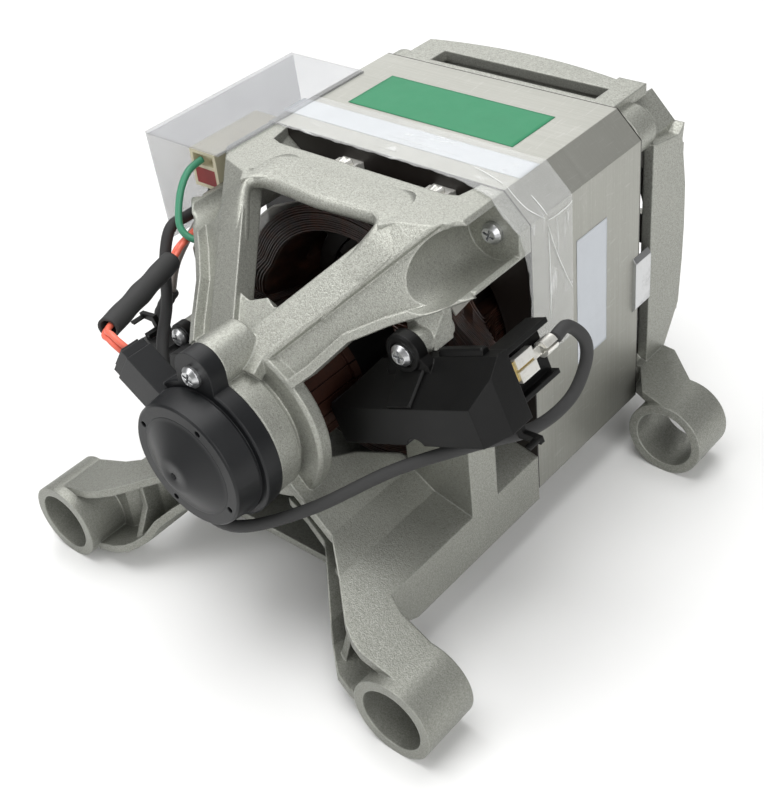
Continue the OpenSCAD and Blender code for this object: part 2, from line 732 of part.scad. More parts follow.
module coil_terminals() color([0.80, 0.80, 0.80]) place() for (x = coil_terminal_x)
    translate([x, 0, slot_r + 2.3]) {
        translate([-4.5, -4, -4]) cube([9, 4, 9]);
        translate([-3.2, -11, 2]) cube([6.4, 8, 0.8]);
        translate([-4.5, -9, 3]) cube([1.2, 7, 2.5]);
        translate([3.3, -9, 3]) cube([1.2, 7, 2.5]);
        translate([-4.5, -9, 2]) cube([9, 6, 1]);
    }

module shield_bolts() color([0.75, 0.75, 0.76]) place() at_bolts() {
    rod(bolt_r, bolt_seat - 1, stack_length + bolt_bite);
    difference() {
        turned() polygon([[0, bolt_seat], [bolt_head_r, bolt_seat], [bolt_head_r, bolt_seat - 1.6],
            [bolt_head_r - 1.2, bolt_seat - 3], [0, bolt_seat - 3]]);
        cross_recess(bolt_seat - 3);
    }
}

// The cross that a driver turns a screw by, cut into a head whose top is at one place along the shaft
module cross_recess(top) {
    for (turn = [20, 110]) rotate([0, turn, 0])
        translate([-cross_size / 2, top - 1, -cross_width / 2])
            cube([cross_size, 1 + cross_depth, cross_width]);
}

// Bearings: each ring reaches into the middle, with a gap between the two

module ring(out, hole, from, to) {
    rotate([-90, 0, 0]) translate([0, 0, from]) difference() {
        cylinder(r = out, h = to - from);
        translate([0, 0, -1]) cylinder(r = hole, h = to - from + 2);
    }
}

front_mid_r = (front_bearing_od + shaft_d) / 4;
rear_mid_r = (rear_bearing_od + shaft_rear_d) / 4;

module front_bearing_outer() color([0.6, 0.6, 0.62]) place()
    ring(front_bearing_od / 2, front_mid_r + race_gap, hub_front, hub_back);

module front_bearing_inner() color([0.65, 0.65, 0.67]) place()
    ring(front_mid_r, shaft_d / 2, hub_front, hub_back);

module rear_bearing_outer() color([0.6, 0.6, 0.62]) place()
    ring(rear_bearing_od / 2, rear_mid_r + race_gap, rear_seat, rear_seat + rear_bearing_width);

module rear_bearing_inner() color([0.65, 0.65, 0.67]) place()
    ring(rear_mid_r, shaft_rear_d / 2, rear_seat, rear_seat + rear_bearing_width);

// Speed sensor

module tacho_cover() color([0.16, 0.16, 0.17]) place() difference() {
    union() {
        turned() polygon([[0, cap_front + 3.3], [3, cap_front + 3.3], [3.6, cap_front + 4.3],
            [6, cap_front + 4.3], [drum_r - 7, cap_front + 0.8], [drum_r - 6, cap_front],
            [drum_r - 1.6, cap_front], [drum_r - 1, cap_front + 0.6], [drum_r, cap_ring_front - 1],
            [drum_r - 0.7, cap_ring_front - 0.5], [drum_r - 0.7, cap_ring_front],
            [cap_r - 0.5, cap_ring_front], [cap_r, cap_ring_front + 0.5], [cap_r, hub_front],
            [0, hub_front]]);
        along_y(cap_ring_front, hub_front) {
            translate([0, lug_up]) circle(r = lug_round);
            translate([-lug_round, 15]) square([2 * lug_round, lug_up - 15]);
        }
        rotate([0, -socket_angle, 0]) translate([18, socket_front, -socket_half])
            cube([socket_out - 18, hub_front - socket_front, 2 * socket_half]);
    }
    turned() polygon([[0, cap_front + 4.3 + cap_wall], [6, cap_front + 4.3 + cap_wall],
        [drum_r - 6, cap_front + 1 + cap_wall], [drum_r - 0.6 - cap_wall, cap_front + 1 + cap_wall],
        [drum_r - 0.6 - cap_wall, hub_front + 1], [0, hub_front + 1]]);
    rod(screw_r + bolt_clear, cap_ring_front - 1, hub_front + 1, 0, lug_up);
    for (k = [0 : 3]) rotate([0, -(151 - 90 * k), 0])
        rod(1.1, cap_front - 1, cap_front + 1.4, drum_r - 3.8, 0);
    rotate([0, -socket_angle, 0]) translate([socket_out - 12, socket_front + 1.5, -plug_half])
        cube([20, hub_front - socket_front - 3, 2 * plug_half]);
}

module tacho_coil() color([0.55, 0.30, 0.12]) place()
    ring(drum_r - 0.6 - cap_wall, magnet_r + 1.2, hub_front - 8, hub_front - 1);

module tacho_plug() color([0.12, 0.12, 0.13]) place() rotate([0, -socket_angle, 0]) difference() {
    union() {
        translate([socket_out - 12, socket_front + 1.5 + slip, slip - plug_half])
            cube([plug_out - socket_out + 12, hub_front - socket_front - 3 - 2 * slip,
                2 * (plug_half - slip)]);
        translate([socket_out, socket_front + 0.5, -plug_half - 1])
            cube([plug_out - socket_out - 1, hub_front - socket_front - 1, 2 * plug_half + 2]);
    }
    translate([plug_out - 6, socket_front + 4, -plug_half - 2]) cube([2, 2, 4]);
}

module screw(length) {
    rod(screw_r, -0.5, length);
    difference() {
        turned() polygon([[0, 0], [screw_head_r, 0], [screw_head_r, -1.2], [screw_head_r - 1.3, -2.4],
            [0, -2.4]]);
        cross_recess(-2.4);
    }
}

module tacho_screw() color([0.8, 0.8, 0.8]) place() translate([0, cap_ring_front, lug_up])
    screw(hub_front - cap_ring_front + 12);

// Brush gear

module holder() {
    guide_y = brush_width / 2 + guide_wall;
    guide_z = brush_thick / 2 + guide_wall;
    difference() {
        union() {
            along_x(holder_in, holder_out) polygon([[holder_front, holder_low], [holder_back, holder_low],
                [holder_back, holder_high], [holder_back - 4, holder_high], [holder_front, -4]]);
            for (z = lug_z) rod(lug_r, lug_front, lug_front + lug_thick, lug_x, z);
            along_y(lug_front, lug_front + lug_thick) polygon([[lug_x - lug_r, lug_z[0]],
                [lug_x + lug_r, lug_z[0]], [lug_x + lug_r + 3, lug_z[0] + 8],
                [lug_x + lug_r + 3, lug_z[1] - 5], [lug_x + lug_r, lug_z[1]], [lug_x - lug_r, lug_z[1]],
                [lug_x - lug_r - 5, lug_z[1] - 5], [lug_x - lug_r - 5, lug_z[0] + 8]]);
            translate([tray_floor, holder_back - 1, -13]) cube([1.6, tray_back - holder_back + 1, 18.5]);
            translate([tray_floor - 1, holder_back - 1, 4]) cube([8, tray_back - holder_back + 1, 1.6]);
            translate([tray_floor - 1, holder_back - 1, -13.4]) cube([5.5, tray_back - holder_back + 1, 1.6]);
            along_y(holder_back - 6, holder_back + 1) polygon([[spring_end, holder_low + 1],
                [spring_end, holder_low - 7], [holder_out, holder_low - 9], [holder_out, holder_low - 7],
                [spring_end + 2.5, holder_low - 5], [spring_end + 2.5, holder_low + 1]]);
        }
        translate([holder_in - 1, brush_y - guide_y, brush_z - guide_z])
            cube([guide_out - holder_in + 1, 2 * guide_y, 2 * guide_z]);
        translate([guide_out - 1, brush_y - spring_r - 0.6, brush_z - spring_r - 0.6])
            cube([spring_end - guide_out + 1, 2 * spring_r + 1.2, 2 * spring_r + 1.2]);
        translate([holder_out - 6, holder_front - 2, -30]) rotate([0, 0, -30]) cube([30, 20, 60]);
        translate([holder_out - 7, holder_front - 1, holder_low - 1]) rotate([0, 45, 0])
            translate([0, 0, -12]) cube([16, 18, 12]);
        translate([holder_in - 1, holder_front - 1, -4]) rotate([0, -30, 0]) cube([40, 30, 30]);
        for (z = lug_z) rod(screw_r + bolt_clear, lug_front - 1, lug_front + lug_thick + 1, lug_x, z);
        for (z = lug_z) rod(screw_head_r + 0.5, lug_front - 20, lug_front, lug_x, z);
        for (z = lug_z) rod(lug_r, lug_front + lug_thick, holder_back + 2, lug_x, z);
        translate([blade_x - 0.4 - slip, holder_back - 6, blade_z - 3.15 - slip])
            cube([0.8 + 2 * slip, 8, 6.3 + 2 * slip]);
    }
}

module guide() {
    wide = brush_width / 2 + guide_wall;
    high = brush_thick / 2 + guide_wall;
    difference() {
        translate([holder_in, brush_y - wide, brush_z - high])
            cube([guide_out - holder_in, 2 * wide, 2 * high]);
        translate([holder_in - 1, brush_y - brush_width / 2 - guide_clear,
            brush_z - brush_thick / 2 - guide_clear])
            cube([guide_out - holder_in + 2, brush_width + 2 * guide_clear, brush_thick + 2 * guide_clear]);
    }
}

module blade() {
    translate([blade_x - 0.4, holder_back - 6, blade_z - 3.15]) cube([0.8, 17, 6.3]);
}

module brush() {
    difference() {
        translate([brush_in - 4, brush_y - brush_width / 2, brush_z - brush_thick / 2])
            cube([brush_out - brush_in + 4, brush_width, brush_thick]);
        rod(commutator_r + brush_gap, brush_y - 20, brush_y + 20);
    }
}

// The spring reaches from the brush to the blind end of the holder
module spring() {
    tube(spring_route, spring_wire_r, 6);
}

module brush_holder_right() color([0.10, 0.10, 0.11]) place() on_right() holder();
module brush_holder_left() color([0.10, 0.10, 0.11]) place() on_left() holder();
module brush_guide_right() color([0.78, 0.62, 0.28]) place() on_right() guide();
module brush_guide_left() color([0.78, 0.62, 0.28]) place() on_left() guide();
module brush_terminal_right() color([0.80, 0.66, 0.30]) place() on_right() blade();
module brush_terminal_left() color([0.80, 0.66, 0.30]) place() on_left() blade();
module brush_right() color([0.18, 0.18, 0.19]) place() on_right() brush();
module brush_left() color([0.18, 0.18, 0.19]) place() on_left() brush();
module spring_right() color([0.7, 0.7, 0.7]) place() on_right() spring();
module spring_left() color([0.7, 0.7, 0.7]) place() on_left() spring();

// Push-on receptacle: a folded box on the blade, a waist and a crimp round the lead
module faston_right() color([0.83, 0.83, 0.80]) place() on_right() {
    difference() {
        translate([blade_x - 1.2, holder_back + 2.5, blade_z - 4]) cube([2.6, 8.5, 8]);
        translate([blade_x - 0.4 - slip, holder_back, blade_z - 3.15 - slip])
            cube([0.8 + 2 * slip, 20, 6.3 + 2 * slip]);
        translate([blade_x, holder_back, blade_z - 0.5]) cube([3, 20, 1]);
    }
    translate([blade_x - 1.2, holder_back + 10, blade_z - 1.6]) cube([0.8, 6, 3.2]);
    difference() {
        rod(brush_lead_d / 2 + 0.6, holder_back + 15.5, holder_back + 21, blade_x, blade_z);
        rod(brush_lead_d / 2 - 0.8, holder_back + 15, holder_back + 22, blade_x, blade_z);
        translate([blade_x + 0.6, holder_back + 14, blade_z - 0.4]) cube([4, 8, 0.8]);
    }
}

module brush_boot_left() color([0.09, 0.09, 0.09]) place() {
    tube(smooth(boot_route, 2), boot_r, 10);
}

module holder_screws() color([0.8, 0.8, 0.8]) place() at_lugs() translate([0, lug_front, 0])
    screw(lug_thick + 11);

// Terminal block and its guard

module terminal_block() color([0.88, 0.86, 0.74]) place() difference() {
    translate([block_x[0], block_y[0], block_z[0]])
        cube([block_x[1] - block_x[0], block_y[1] - block_y[0], block_z[1] - block_z[0]]);
    translate([block_x[0] + 1.5, block_y[0] - 1, block_z[0] + 9.2])
        cube([block_x[1] - block_x[0] - 3, 5, 4]);
    translate([block_x[0] + 1.5, block_y[0] - 1, block_z[0] + 1.5])
        cube([block_x[1] - block_x[0] - 3, 7, 6.4]);
}

module terminal_insert() color([0.66, 0.14, 0.14]) place()
    translate([block_x[0] + 1.5, block_y[0], block_z[0] + 1.5])
        cube([block_x[1] - block_x[0] - 3, 6, 6.4]);

module splash_guard() color([0.85, 0.87, 0.88, 0.4]) place() along_y(guard_front, guard_back)
    polygon([[-guard_in, half_h], [guard_thick - guard_out, half_h],
        [guard_thick + guard_lean - guard_out, guard_low], [guard_lean - guard_out, guard_low],
        [-guard_out, half_h + guard_thick], [-guard_in, half_h + guard_thick]]);

module stator_clips() color([0.62, 0.62, 0.60]) place() both() {
    along_y(stack_length - 4, stack_length + 6) polygon([[half_w, -16], [half_w + 1.4, -14],
        [half_w + 1.4, 5], [half_w, 7]]);
    along_y(stack_length, stack_length + 6) polygon([[half_w - 6, -12], [half_w + 1, -12],
        [half_w + 1, 3], [half_w - 6, 3]]);
}

// Leads

module brush_lead_right() color([0.06, 0.06, 0.06]) place()
    tube(smooth(brush_lead_route, 2), brush_lead_d / 2, 10);

module brush_lead_left() color([0.30, 0.27, 0.25]) place()
    tube(smooth(brush_left_route, 2), thin_lead_d / 2 + 0.3, 8);

// One of the two sensor leads, which lie side by side and roll over each other along the run
module sensor_lead(side) {
    p = smooth(sensor_route, 2);
    tube([for (i = [0 : len(p) - 1]) let (t = i / (len(p) - 1))
        p[i] + side * (sensor_sides[0] * (1 - t) + sensor_sides[1] * t)], thin_lead_d / 2, 8);
}

module tacho_lead_a() color([0.85, 0.22, 0.14]) place() sensor_lead(1);

module tacho_lead_b() color([0.85, 0.22, 0.14]) place() sensor_lead(-1);

module earth_lead() color([0.10, 0.35, 0.22]) place()
    tube(smooth(earth_route, 1), thin_lead_d / 2 + 0.2, 8);

module coil_lead() color([0.20, 0.40, 0.75]) place()
    tube(smooth(coil_lead_route, 2), thin_lead_d / 2, 8);

module lead_sleeve() color([0.07, 0.07, 0.07]) place()
    framed(sleeve_low, sleeve_high - sleeve_low, [0, 0, 1]) difference() {
        cylinder(r = sleeve_d / 2, h = norm(sleeve_high - sleeve_low));
        translate([0, 0, -1]) cylinder(r = sleeve_d / 2 - 0.9, h = norm(sleeve_high - sleeve_low) + 2);
    }

// Rotor

module rotor_shaft() color([0.72, 0.72, 0.74]) place() turned() polygon([[0, hub_front - 8],
    [shaft_d / 2 - 0.6, hub_front - 8], [shaft_d / 2, hub_front - 7.4], [shaft_d / 2, rear_seat - 1],
    [shaft_rear_d / 2, rear_seat - 1], [shaft_rear_d / 2, rear_seat + rear_bearing_width],
    [shaft_rear_d / 2 - 1, rear_seat + rear_bearing_width], [shaft_rear_d / 2 - 1, shaft_tip - 1],
    [shaft_rear_d / 2 - 2, shaft_tip], [0, shaft_tip]]);

module rotor_slots() {
    for (k = [0 : 11]) rotate(30 * k) translate([rotor_r - 12, -1.6]) square([13, 3.2]);
}

module rotor_core() color([0.5, 0.5, 0.5]) place() along_y(0, stack_length) difference() {
    circle(r = rotor_r);
    circle(r = shaft_d / 2);
    rotor_slots();
}

module rotor_winding() color([0.55, 0.27, 0.12]) place() {
    along_y(-0.5, stack_length + 0.5) intersection() {
        rotor_slots();
        circle(r = rotor_r - 1);
    }
    turned() polygon([[14, 0], [14, -16], [18, -19], [24, -16], [rotor_r - 2.5, -6], [rotor_r - 2.5, 0]]);
    turned() polygon([[14, stack_length], [14, stack_length + 12], [18, stack_length + 15],
        [24, stack_length + 13], [rotor_r - 2.5, stack_length + 5], [rotor_r - 2.5, stack_length]]);
}

module commutator() color([0.72, 0.43, 0.24]) place() difference() {
    turned() polygon([[commutator_r - 6, commutator_front], [commutator_r, commutator_front],
        [commutator_r, commutator_back - 3], [commutator_r + 1.5, commutator_back - 3],
        [commutator_r + 1.5, commutator_back], [commutator_r - 6, commutator_back]]);
    along_y(commutator_front - 1, commutator_back + 1) for (k = [0 : commutator_bars - 1])
        rotate(360 * k / commutator_bars) translate([commutator_r - 1, -0.3]) square([4, 0.6]);
}

module commutator_hub() color([0.25, 0.16, 0.10]) place()
    ring(commutator_r - 6, shaft_d / 2, commutator_front + 1, -16);

module cooling_fan() color([0.20, 0.20, 0.21]) place() {
    fan_back = rear_seat - 3;
    ring(10, shaft_d / 2, fan_back - 7, fan_back);
    ring(44, 10, fan_back - 1.6, fan_back);
    for (k = [0 : 11]) rotate([0, 30 * k, 0]) translate([rotor_r - 4.5, fan_back - 7, -0.8])
        cube([coil_in_r - rotor_r + 3, 6, 1.6]);
}

module tacho_magnet() color([0.25, 0.25, 0.27]) place()
    ring(magnet_r, shaft_d / 2, hub_front - 7, hub_front - 0.5);

module drive_pulley() color([0.55, 0.55, 0.56]) place() {
    from = rear_seat + rear_bearing_width + 6;
    pitch = (shaft_tip - 3 - from) / (pulley_grooves + 1);
    turned() polygon(concat([[shaft_rear_d / 2 - 1, from], [pulley_r, from]],
        [for (k = [0 : pulley_grooves - 1]) each [[pulley_r, from + pitch * (k + 0.6)],
            [pulley_r - 1.8, from + pitch * (k + 1)], [pulley_r, from + pitch * (k + 1.4)]]],
        [[pulley_r, shaft_tip - 3], [shaft_rear_d / 2 - 1, shaft_tip - 3]]));
}

front_shield();
rear_shield();
stator_core();
field_coil_top();
field_coil_bottom();
coil_insulation();
coil_terminals();
shield_bolts();
front_bearing_outer();
rear_bearing_outer();
tacho_cover();
tacho_coil();
tacho_plug();
tacho_screw();
brush_holder_right();
brush_holder_left();
brush_guide_right();
brush_guide_left();
brush_terminal_right();
brush_terminal_left();
faston_right();
brush_boot_left();
holder_screws();
terminal_block();
terminal_insert();
splash_guard();
stator_clips();
brush_lead_right();
brush_lead_left();
tacho_lead_a();
tacho_lead_b();
lead_sleeve();
earth_lead();
coil_lead();
rotor_shaft();
rotor_core();
rotor_winding();
commutator();
commutator_hub();
cooling_fan();
front_bearing_inner();
rear_bearing_inner();
tacho_magnet();
drive_pulley();
brush_right();
brush_left();
spring_right();
spring_left();
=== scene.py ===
"""Looks of a brushed belt-drive washing machine motor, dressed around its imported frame.

Shapes are worked out in millimetres about the shaft (x across, y from the sensor end to the
drive end, z up) and are put into the part's frame in metres as the last thing.
"""

import logging
import math
from dataclasses import dataclass
from enum import Enum
from typing import Optional, Sequence, Union

import bpy
import numpy as np
from mathutils import Matrix, Vector


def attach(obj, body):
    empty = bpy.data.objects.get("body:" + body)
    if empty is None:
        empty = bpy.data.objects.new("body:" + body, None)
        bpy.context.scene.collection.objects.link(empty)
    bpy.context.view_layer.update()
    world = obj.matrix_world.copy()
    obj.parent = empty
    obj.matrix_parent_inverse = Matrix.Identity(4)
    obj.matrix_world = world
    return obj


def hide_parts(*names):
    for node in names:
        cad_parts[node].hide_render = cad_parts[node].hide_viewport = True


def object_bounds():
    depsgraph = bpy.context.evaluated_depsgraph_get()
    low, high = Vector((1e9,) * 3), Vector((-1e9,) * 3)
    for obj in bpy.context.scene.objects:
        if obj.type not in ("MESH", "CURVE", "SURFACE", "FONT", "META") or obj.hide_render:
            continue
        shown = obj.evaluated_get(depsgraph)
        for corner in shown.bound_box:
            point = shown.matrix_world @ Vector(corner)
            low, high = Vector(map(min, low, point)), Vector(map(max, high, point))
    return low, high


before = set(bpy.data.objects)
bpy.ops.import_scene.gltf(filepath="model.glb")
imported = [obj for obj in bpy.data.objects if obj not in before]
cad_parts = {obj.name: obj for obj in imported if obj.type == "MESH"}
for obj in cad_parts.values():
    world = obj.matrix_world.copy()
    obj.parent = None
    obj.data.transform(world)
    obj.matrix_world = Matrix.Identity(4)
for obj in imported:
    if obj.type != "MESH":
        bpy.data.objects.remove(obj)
CAD_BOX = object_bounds()

LOG = logging.getLogger("motor_looks")
SHAFT_AT = np.array((0.0, 108.0, 62.0))
HALF_WIDTH = 60.0
HALF_HEIGHT = 61.5
STACK_LENGTH = 65.5
MM_IN_METRE = 1000.0

Array = np.ndarray
Point = tuple[float, float, float]
Outline = tuple[tuple[float, float], ...]
Socket = bpy.types.NodeSocket
Value = Union[float, Sequence[float], Socket]
HALF_TURN = np.array((-1.0, 1.0, -1.0))


def placed(points: Array) -> Array:
    """Turns millimetres about the shaft into metres in the part's frame.

    Args:
        points: Array whose last axis is x, y, z.

    Returns:
        The same points in the part's frame.
    """
    return (np.asarray(points, float) + SHAFT_AT) / MM_IN_METRE


def linear(tone: str) -> tuple[float, float, float, float]:
    """Gives the linear colour of a hex sRGB tone such as "#A0A098".

    Args:
        tone: The colour as a hash and six hex digits.

    Returns:
        Linear red, green, blue and an alpha of one.
    """
    parts = [int(tone[i:i + 2], 16) / 255.0 for i in (1, 3, 5)]
    flat = [c / 12.92 if c <= 0.04045 else ((c + 0.055) / 1.055) ** 2.4 for c in parts]
    return flat[0], flat[1], flat[2], 1.0


class NodeKit:
    """Adds and wires nodes in one shader tree."""

    def __init__(self, tree: bpy.types.NodeTree) -> None:
        """Keeps the tree that the nodes go into."""
        self.tree = tree

    def add(self, kind: str, **settings: object) -> bpy.types.Node:
        """Adds a node.

        Args:
            kind: Blender's name of the node type.
            **settings: Properties set on the new node.

        Returns:
            The new node.
        """
        node = self.tree.nodes.new(kind)
        for name, setting in settings.items():
            setattr(node, name, setting)
        return node

    def feed(self, socket: Socket, value: Value) -> None:
        """Links a socket to another, or sets it where the value is plain.

        Args:
            socket: The input socket.
            value: An output socket, a number or a row of numbers.
        """
        if isinstance(value, Socket):
            self.tree.links.new(value, socket)
        else:
            socket.default_value = value

    def fill(self, node: bpy.types.Node, **values: Value) -> bpy.types.Node:
        """Feeds some of a node's inputs.

        Args:
            node: The node.
            **values: Value of each input by its name, with underscores for the spaces.

        Returns:
            The node itself.
        """
        for name, value in values.items():
            self.feed(node.inputs[name.replace("_", " ")], value)
        return node

    def math(self, operation: str, a: Value, b: Value = 0.0, clamp: bool = False) -> Socket:
        """Works out one sum of two values.

        Args:
            operation: Blender's name of the operation.
            a: First value.
            b: Second value.
            clamp: Whether the result is kept between 0 and 1.

        Returns:
            The result's socket.
        """
        node = self.add("ShaderNodeMath", operation=operation, use_clamp=clamp)
        self.feed(node.inputs[0], a)
        self.feed(node.inputs[1], b)
        return node.outputs[0]

    def scaled(self, value: Value, share: Value) -> Socket:
        """Gives a value times a share."""
        return self.math("MULTIPLY", value, share)

    def spread(self, value: Value, low: float, high: float, to: tuple[float, float] = (0.0, 1.0)) -> Socket:
        """Stretches the span from low to high over another span and clamps it.

        Args:
            value: The value that is stretched.
            low: Where the span starts.
            high: Where the span ends.
            to: The span that it becomes.

        Returns:
            The stretched value's socket.
        """
        node = self.add("ShaderNodeMapRange", clamp=True)
        self.fill(node, Value=value, From_Min=low, From_Max=high, To_Min=to[0], To_Max=to[1])
        return node.outputs["Result"]

    def blend(self, share: Value, a: Value, b: Value) -> Socket:
        """Mixes two colours.

        Args:
            share: How much of the second colour shows.
            a: First colour.
            b: Second colour.

        Returns:
            The mixed colour's socket.
        """
        node = self.add("ShaderNodeMix", data_type="RGBA")
        self.feed(node.inputs[0], share)
        self.feed(node.inputs[6], a)
        self.feed(node.inputs[7], b)
        return node.outputs[2]

    def stretched(self, where: Value, scale: Sequence[float]) -> Socket:
        """Scales a place unevenly, so that a pattern on it becomes streaks.

        Args:
            where: The place's socket.
            scale: Factors along x, y and z.

        Returns:
            The scaled place's socket.
        """
        return self.fill(self.add("ShaderNodeMapping"), Vector=where, Scale=scale).outputs["Vector"]

    def noise(self, where: Value, scale: Value, detail: float, roughness: float) -> Socket:
        """Adds cloudy noise.

        Args:
            where: The place's socket.
            scale: Clouds to a metre.
            detail: Octaves of finer clouds.
            roughness: How strong the finer clouds are.

        Returns:
            The noise's socket, about 0 to 1.
        """
        node = self.add("ShaderNodeTexNoise")
        self.fill(node, Vector=where, Scale=scale, Detail=detail, Roughness=roughness)
        return node.outputs[0]

    def bump(self, height: Value, depth: float, strength: float, normal: Optional[Socket]) -> Socket:
        """Turns a height into a normal.

        Args:
            height: The height's socket.
            depth: Metres that a height of one stands for.
            strength: Share of the full relief.
            normal: The normal that it starts from, if any.

        Returns:
            The normal's socket.
        """
        node = self.fill(self.add("ShaderNodeBump"), Height=height, Distance=depth, Strength=strength)
        if normal is not None:
            self.feed(node.inputs["Normal"], normal)
        return node.outputs["Normal"]


class Effect(Enum):
    """Surface effects that more than one finish uses, each a shader node group."""

    CAST_GRAIN = "cast_grain"
    HANDLING = "handling_smudges"
    SCRATCHES = "fine_scratches"
    SOFT_EDGE = "rounded_edges"
    DUST = "settled_dust"
    LOW_PAINTED_SHADE = "low_painted_shade"
    INSIDE_SHADE = "painted_inside_shade"

    def group(self) -> bpy.types.NodeTree:
        """Gives the effect's node group, which is built at its first use."""
        found = bpy.data.node_groups.get(self.value)
        return found if found is not None else EffectBuilder(self).build()


class EffectBuilder:
    """Builds the node group of one effect.

    Attributes:
        SHADE_HEIGHTS: Heights in metres where the painted shade low down starts and where it is full.
        END_BAND: Depth in metres of the stack's end faces that get painted shade.
    """

    SHADE_HEIGHTS = (0.105, -0.010)
    END_BAND = 0.0005

    def __init__(self, effect: Effect) -> None:
        """Starts an empty group with the effect's name."""
        self.effect = effect
        self.tree = bpy.data.node_groups.new(effect.value, "ShaderNodeTree")
        self.kit = NodeKit(self.tree)

    def inputs(self, **numbers: float) -> dict[str, Socket]:
        """Args:
            **numbers: Name and first value of each number.

        Returns:
            The inputs by name, as sockets to wire from.
        """
        self.tree.interface.new_socket("Place", in_out="INPUT", socket_type="NodeSocketVector")
        for name, number in numbers.items():
            socket = self.tree.interface.new_socket(name, in_out="INPUT", socket_type="NodeSocketFloat")
            socket.default_value = number
        return {socket.name: socket for socket in self.kit.add("NodeGroupInput").outputs if socket.name}

    def outputs(self, **results: Socket) -> None:
        """Args:
            **results: Name and socket of each result.
        """
        for name in results:
            kind = "NodeSocketVector" if name == "Normal" else "NodeSocketFloat"
            self.tree.interface.new_socket(name, in_out="OUTPUT", socket_type=kind)
        self.kit.fill(self.kit.add("NodeGroupOutput"), **results)

    def build(self) -> bpy.types.NodeTree:
        """Builds the group that the effect names and returns it."""
        getattr(self, self.effect.value)()
        return self.tree

    def cast_grain(self) -> None:
        """Sandy speckle of a casting, from fine and coarser grit, and its broad patches."""
        kit, source = self.kit, self.inputs(Scale=1400.0)
        fine = kit.noise(source["Place"], source["Scale"], 2.0, 0.6)
        grit = kit.noise(source["Place"], kit.scaled(source["Scale"], 0.45), 2.0, 0.5)
        patch = kit.noise(source["Place"], 22.0, 3.0, 0.5)
        both = kit.math("ADD", kit.scaled(fine, 0.7), kit.scaled(grit, 0.3))
        self.outputs(Speckle=kit.spread(both, 0.34, 0.66), Patch=kit.spread(patch, 0.30, 0.70))

    def handling_smudges(self) -> None:
        """Soft dark smudges where hands and oil have been."""
        kit, source = self.kit, self.inputs(Scale=26.0, Amount=0.5)
        broad = kit.noise(source["Place"], source["Scale"], 5.0, 0.62)
        small = kit.noise(source["Place"], kit.scaled(source["Scale"], 5.3), 3.0, 0.6)
        mixed = kit.math("ADD", kit.scaled(broad, 0.72), kit.scaled(small, 0.28))
        self.outputs(Mask=kit.scaled(kit.spread(mixed, 0.50, 0.70), source["Amount"]))

    def fine_scratches(self) -> None:
        """Thin bright lines that cross each other at two angles."""
        kit, source = self.kit, self.inputs(Amount=0.5)
        runs = []
        for scale in ((90.0, 2600.0, 420.0), (1900.0, 120.0, 700.0)):
            streak = kit.noise(kit.stretched(source["Place"], scale), 1.0, 2.0, 0.5)
            runs.append(kit.spread(streak, 0.63, 0.70))
        self.outputs(Mask=kit.scaled(kit.math("MAXIMUM", *runs), source["Amount"]))

    def rounded_edges(self) -> None:
        """A normal that rounds sharp edges, and a mask that is one on them."""
        kit, source = self.kit, self.inputs(Radius=0.0006)
        soft = kit.add("ShaderNodeBevel", samples=6)
        kit.feed(soft.inputs["Radius"], source["Radius"])
        turned = kit.add("ShaderNodeVectorMath", operation="DOT_PRODUCT")
        kit.feed(turned.inputs[0], soft.outputs["Normal"])
        kit.feed(turned.inputs[1], kit.add("ShaderNodeNewGeometry").outputs["Normal"])
        self.outputs(Normal=soft.outputs["Normal"], Edge=kit.spread(turned.outputs["Value"], 0.98, 0.80))

    def settled_dust(self) -> None:
        """Pale dust on what faces up, thicker in patches."""
        kit, source = self.kit, self.inputs(Amount=0.5)
        up = kit.add("ShaderNodeSeparateXYZ")
        kit.feed(up.inputs[0], kit.add("ShaderNodeNewGeometry").outputs["Normal"])
        cloud = kit.spread(kit.noise(source["Place"], 160.0, 5.0, 0.65), 0.35, 0.75)
        lying = kit.scaled(kit.spread(up.outputs["Z"], -0.1, 0.9, (0.15, 1.0)), cloud)
        self.outputs(Mask=kit.scaled(lying, source["Amount"]))

    def low_painted_shade(self) -> None:
        """Painted shade, darker downwards from the stack's upper part to the feet where less light falls, in
        soft clouds.
        """
        kit, source = self.kit, self.inputs(Amount=0.5)
        high = kit.add("ShaderNodeSeparateXYZ")
        kit.feed(high.inputs[0], source["Place"])
        cloud = kit.spread(kit.noise(source["Place"], 30.0, 4.0, 0.55), 0.25, 0.75, (0.65, 1.0))
        low = kit.scaled(kit.spread(high.outputs["Z"], *self.SHADE_HEIGHTS), cloud)
        self.outputs(Mask=kit.scaled(low, source["Amount"]))

    def painted_inside_shade(self) -> None:
        """A mask of the stack's inside, where painted shade goes: its bore, its slots and its two end faces.
        """
        kit, source = self.kit, self.inputs(Radius=0.0503)
        axis = kit.add("ShaderNodeVectorMath", operation="SUBTRACT")
        kit.feed(axis.inputs[0], source["Place"])
        axis.inputs[1].default_value = tuple(SHAFT_AT / MM_IN_METRE)
        part = kit.add("ShaderNodeSeparateXYZ")
        kit.feed(part.inputs[0], axis.outputs["Vector"])
        across = kit.math("POWER", part.outputs["X"], 2.0)
        upward = kit.math("POWER", part.outputs["Z"], 2.0)
        reach = kit.math("SQRT", kit.math("ADD", across, upward))
        bore = kit.math("LESS_THAN", reach, source["Radius"])
        front = kit.math("LESS_THAN", part.outputs["Y"], self.END_BAND)
        rear = kit.math("GREATER_THAN", part.outputs["Y"], STACK_LENGTH / MM_IN_METRE - self.END_BAND)
        self.outputs(Mask=kit.math("MAXIMUM", bore, kit.math("MAXIMUM", front, rear)))


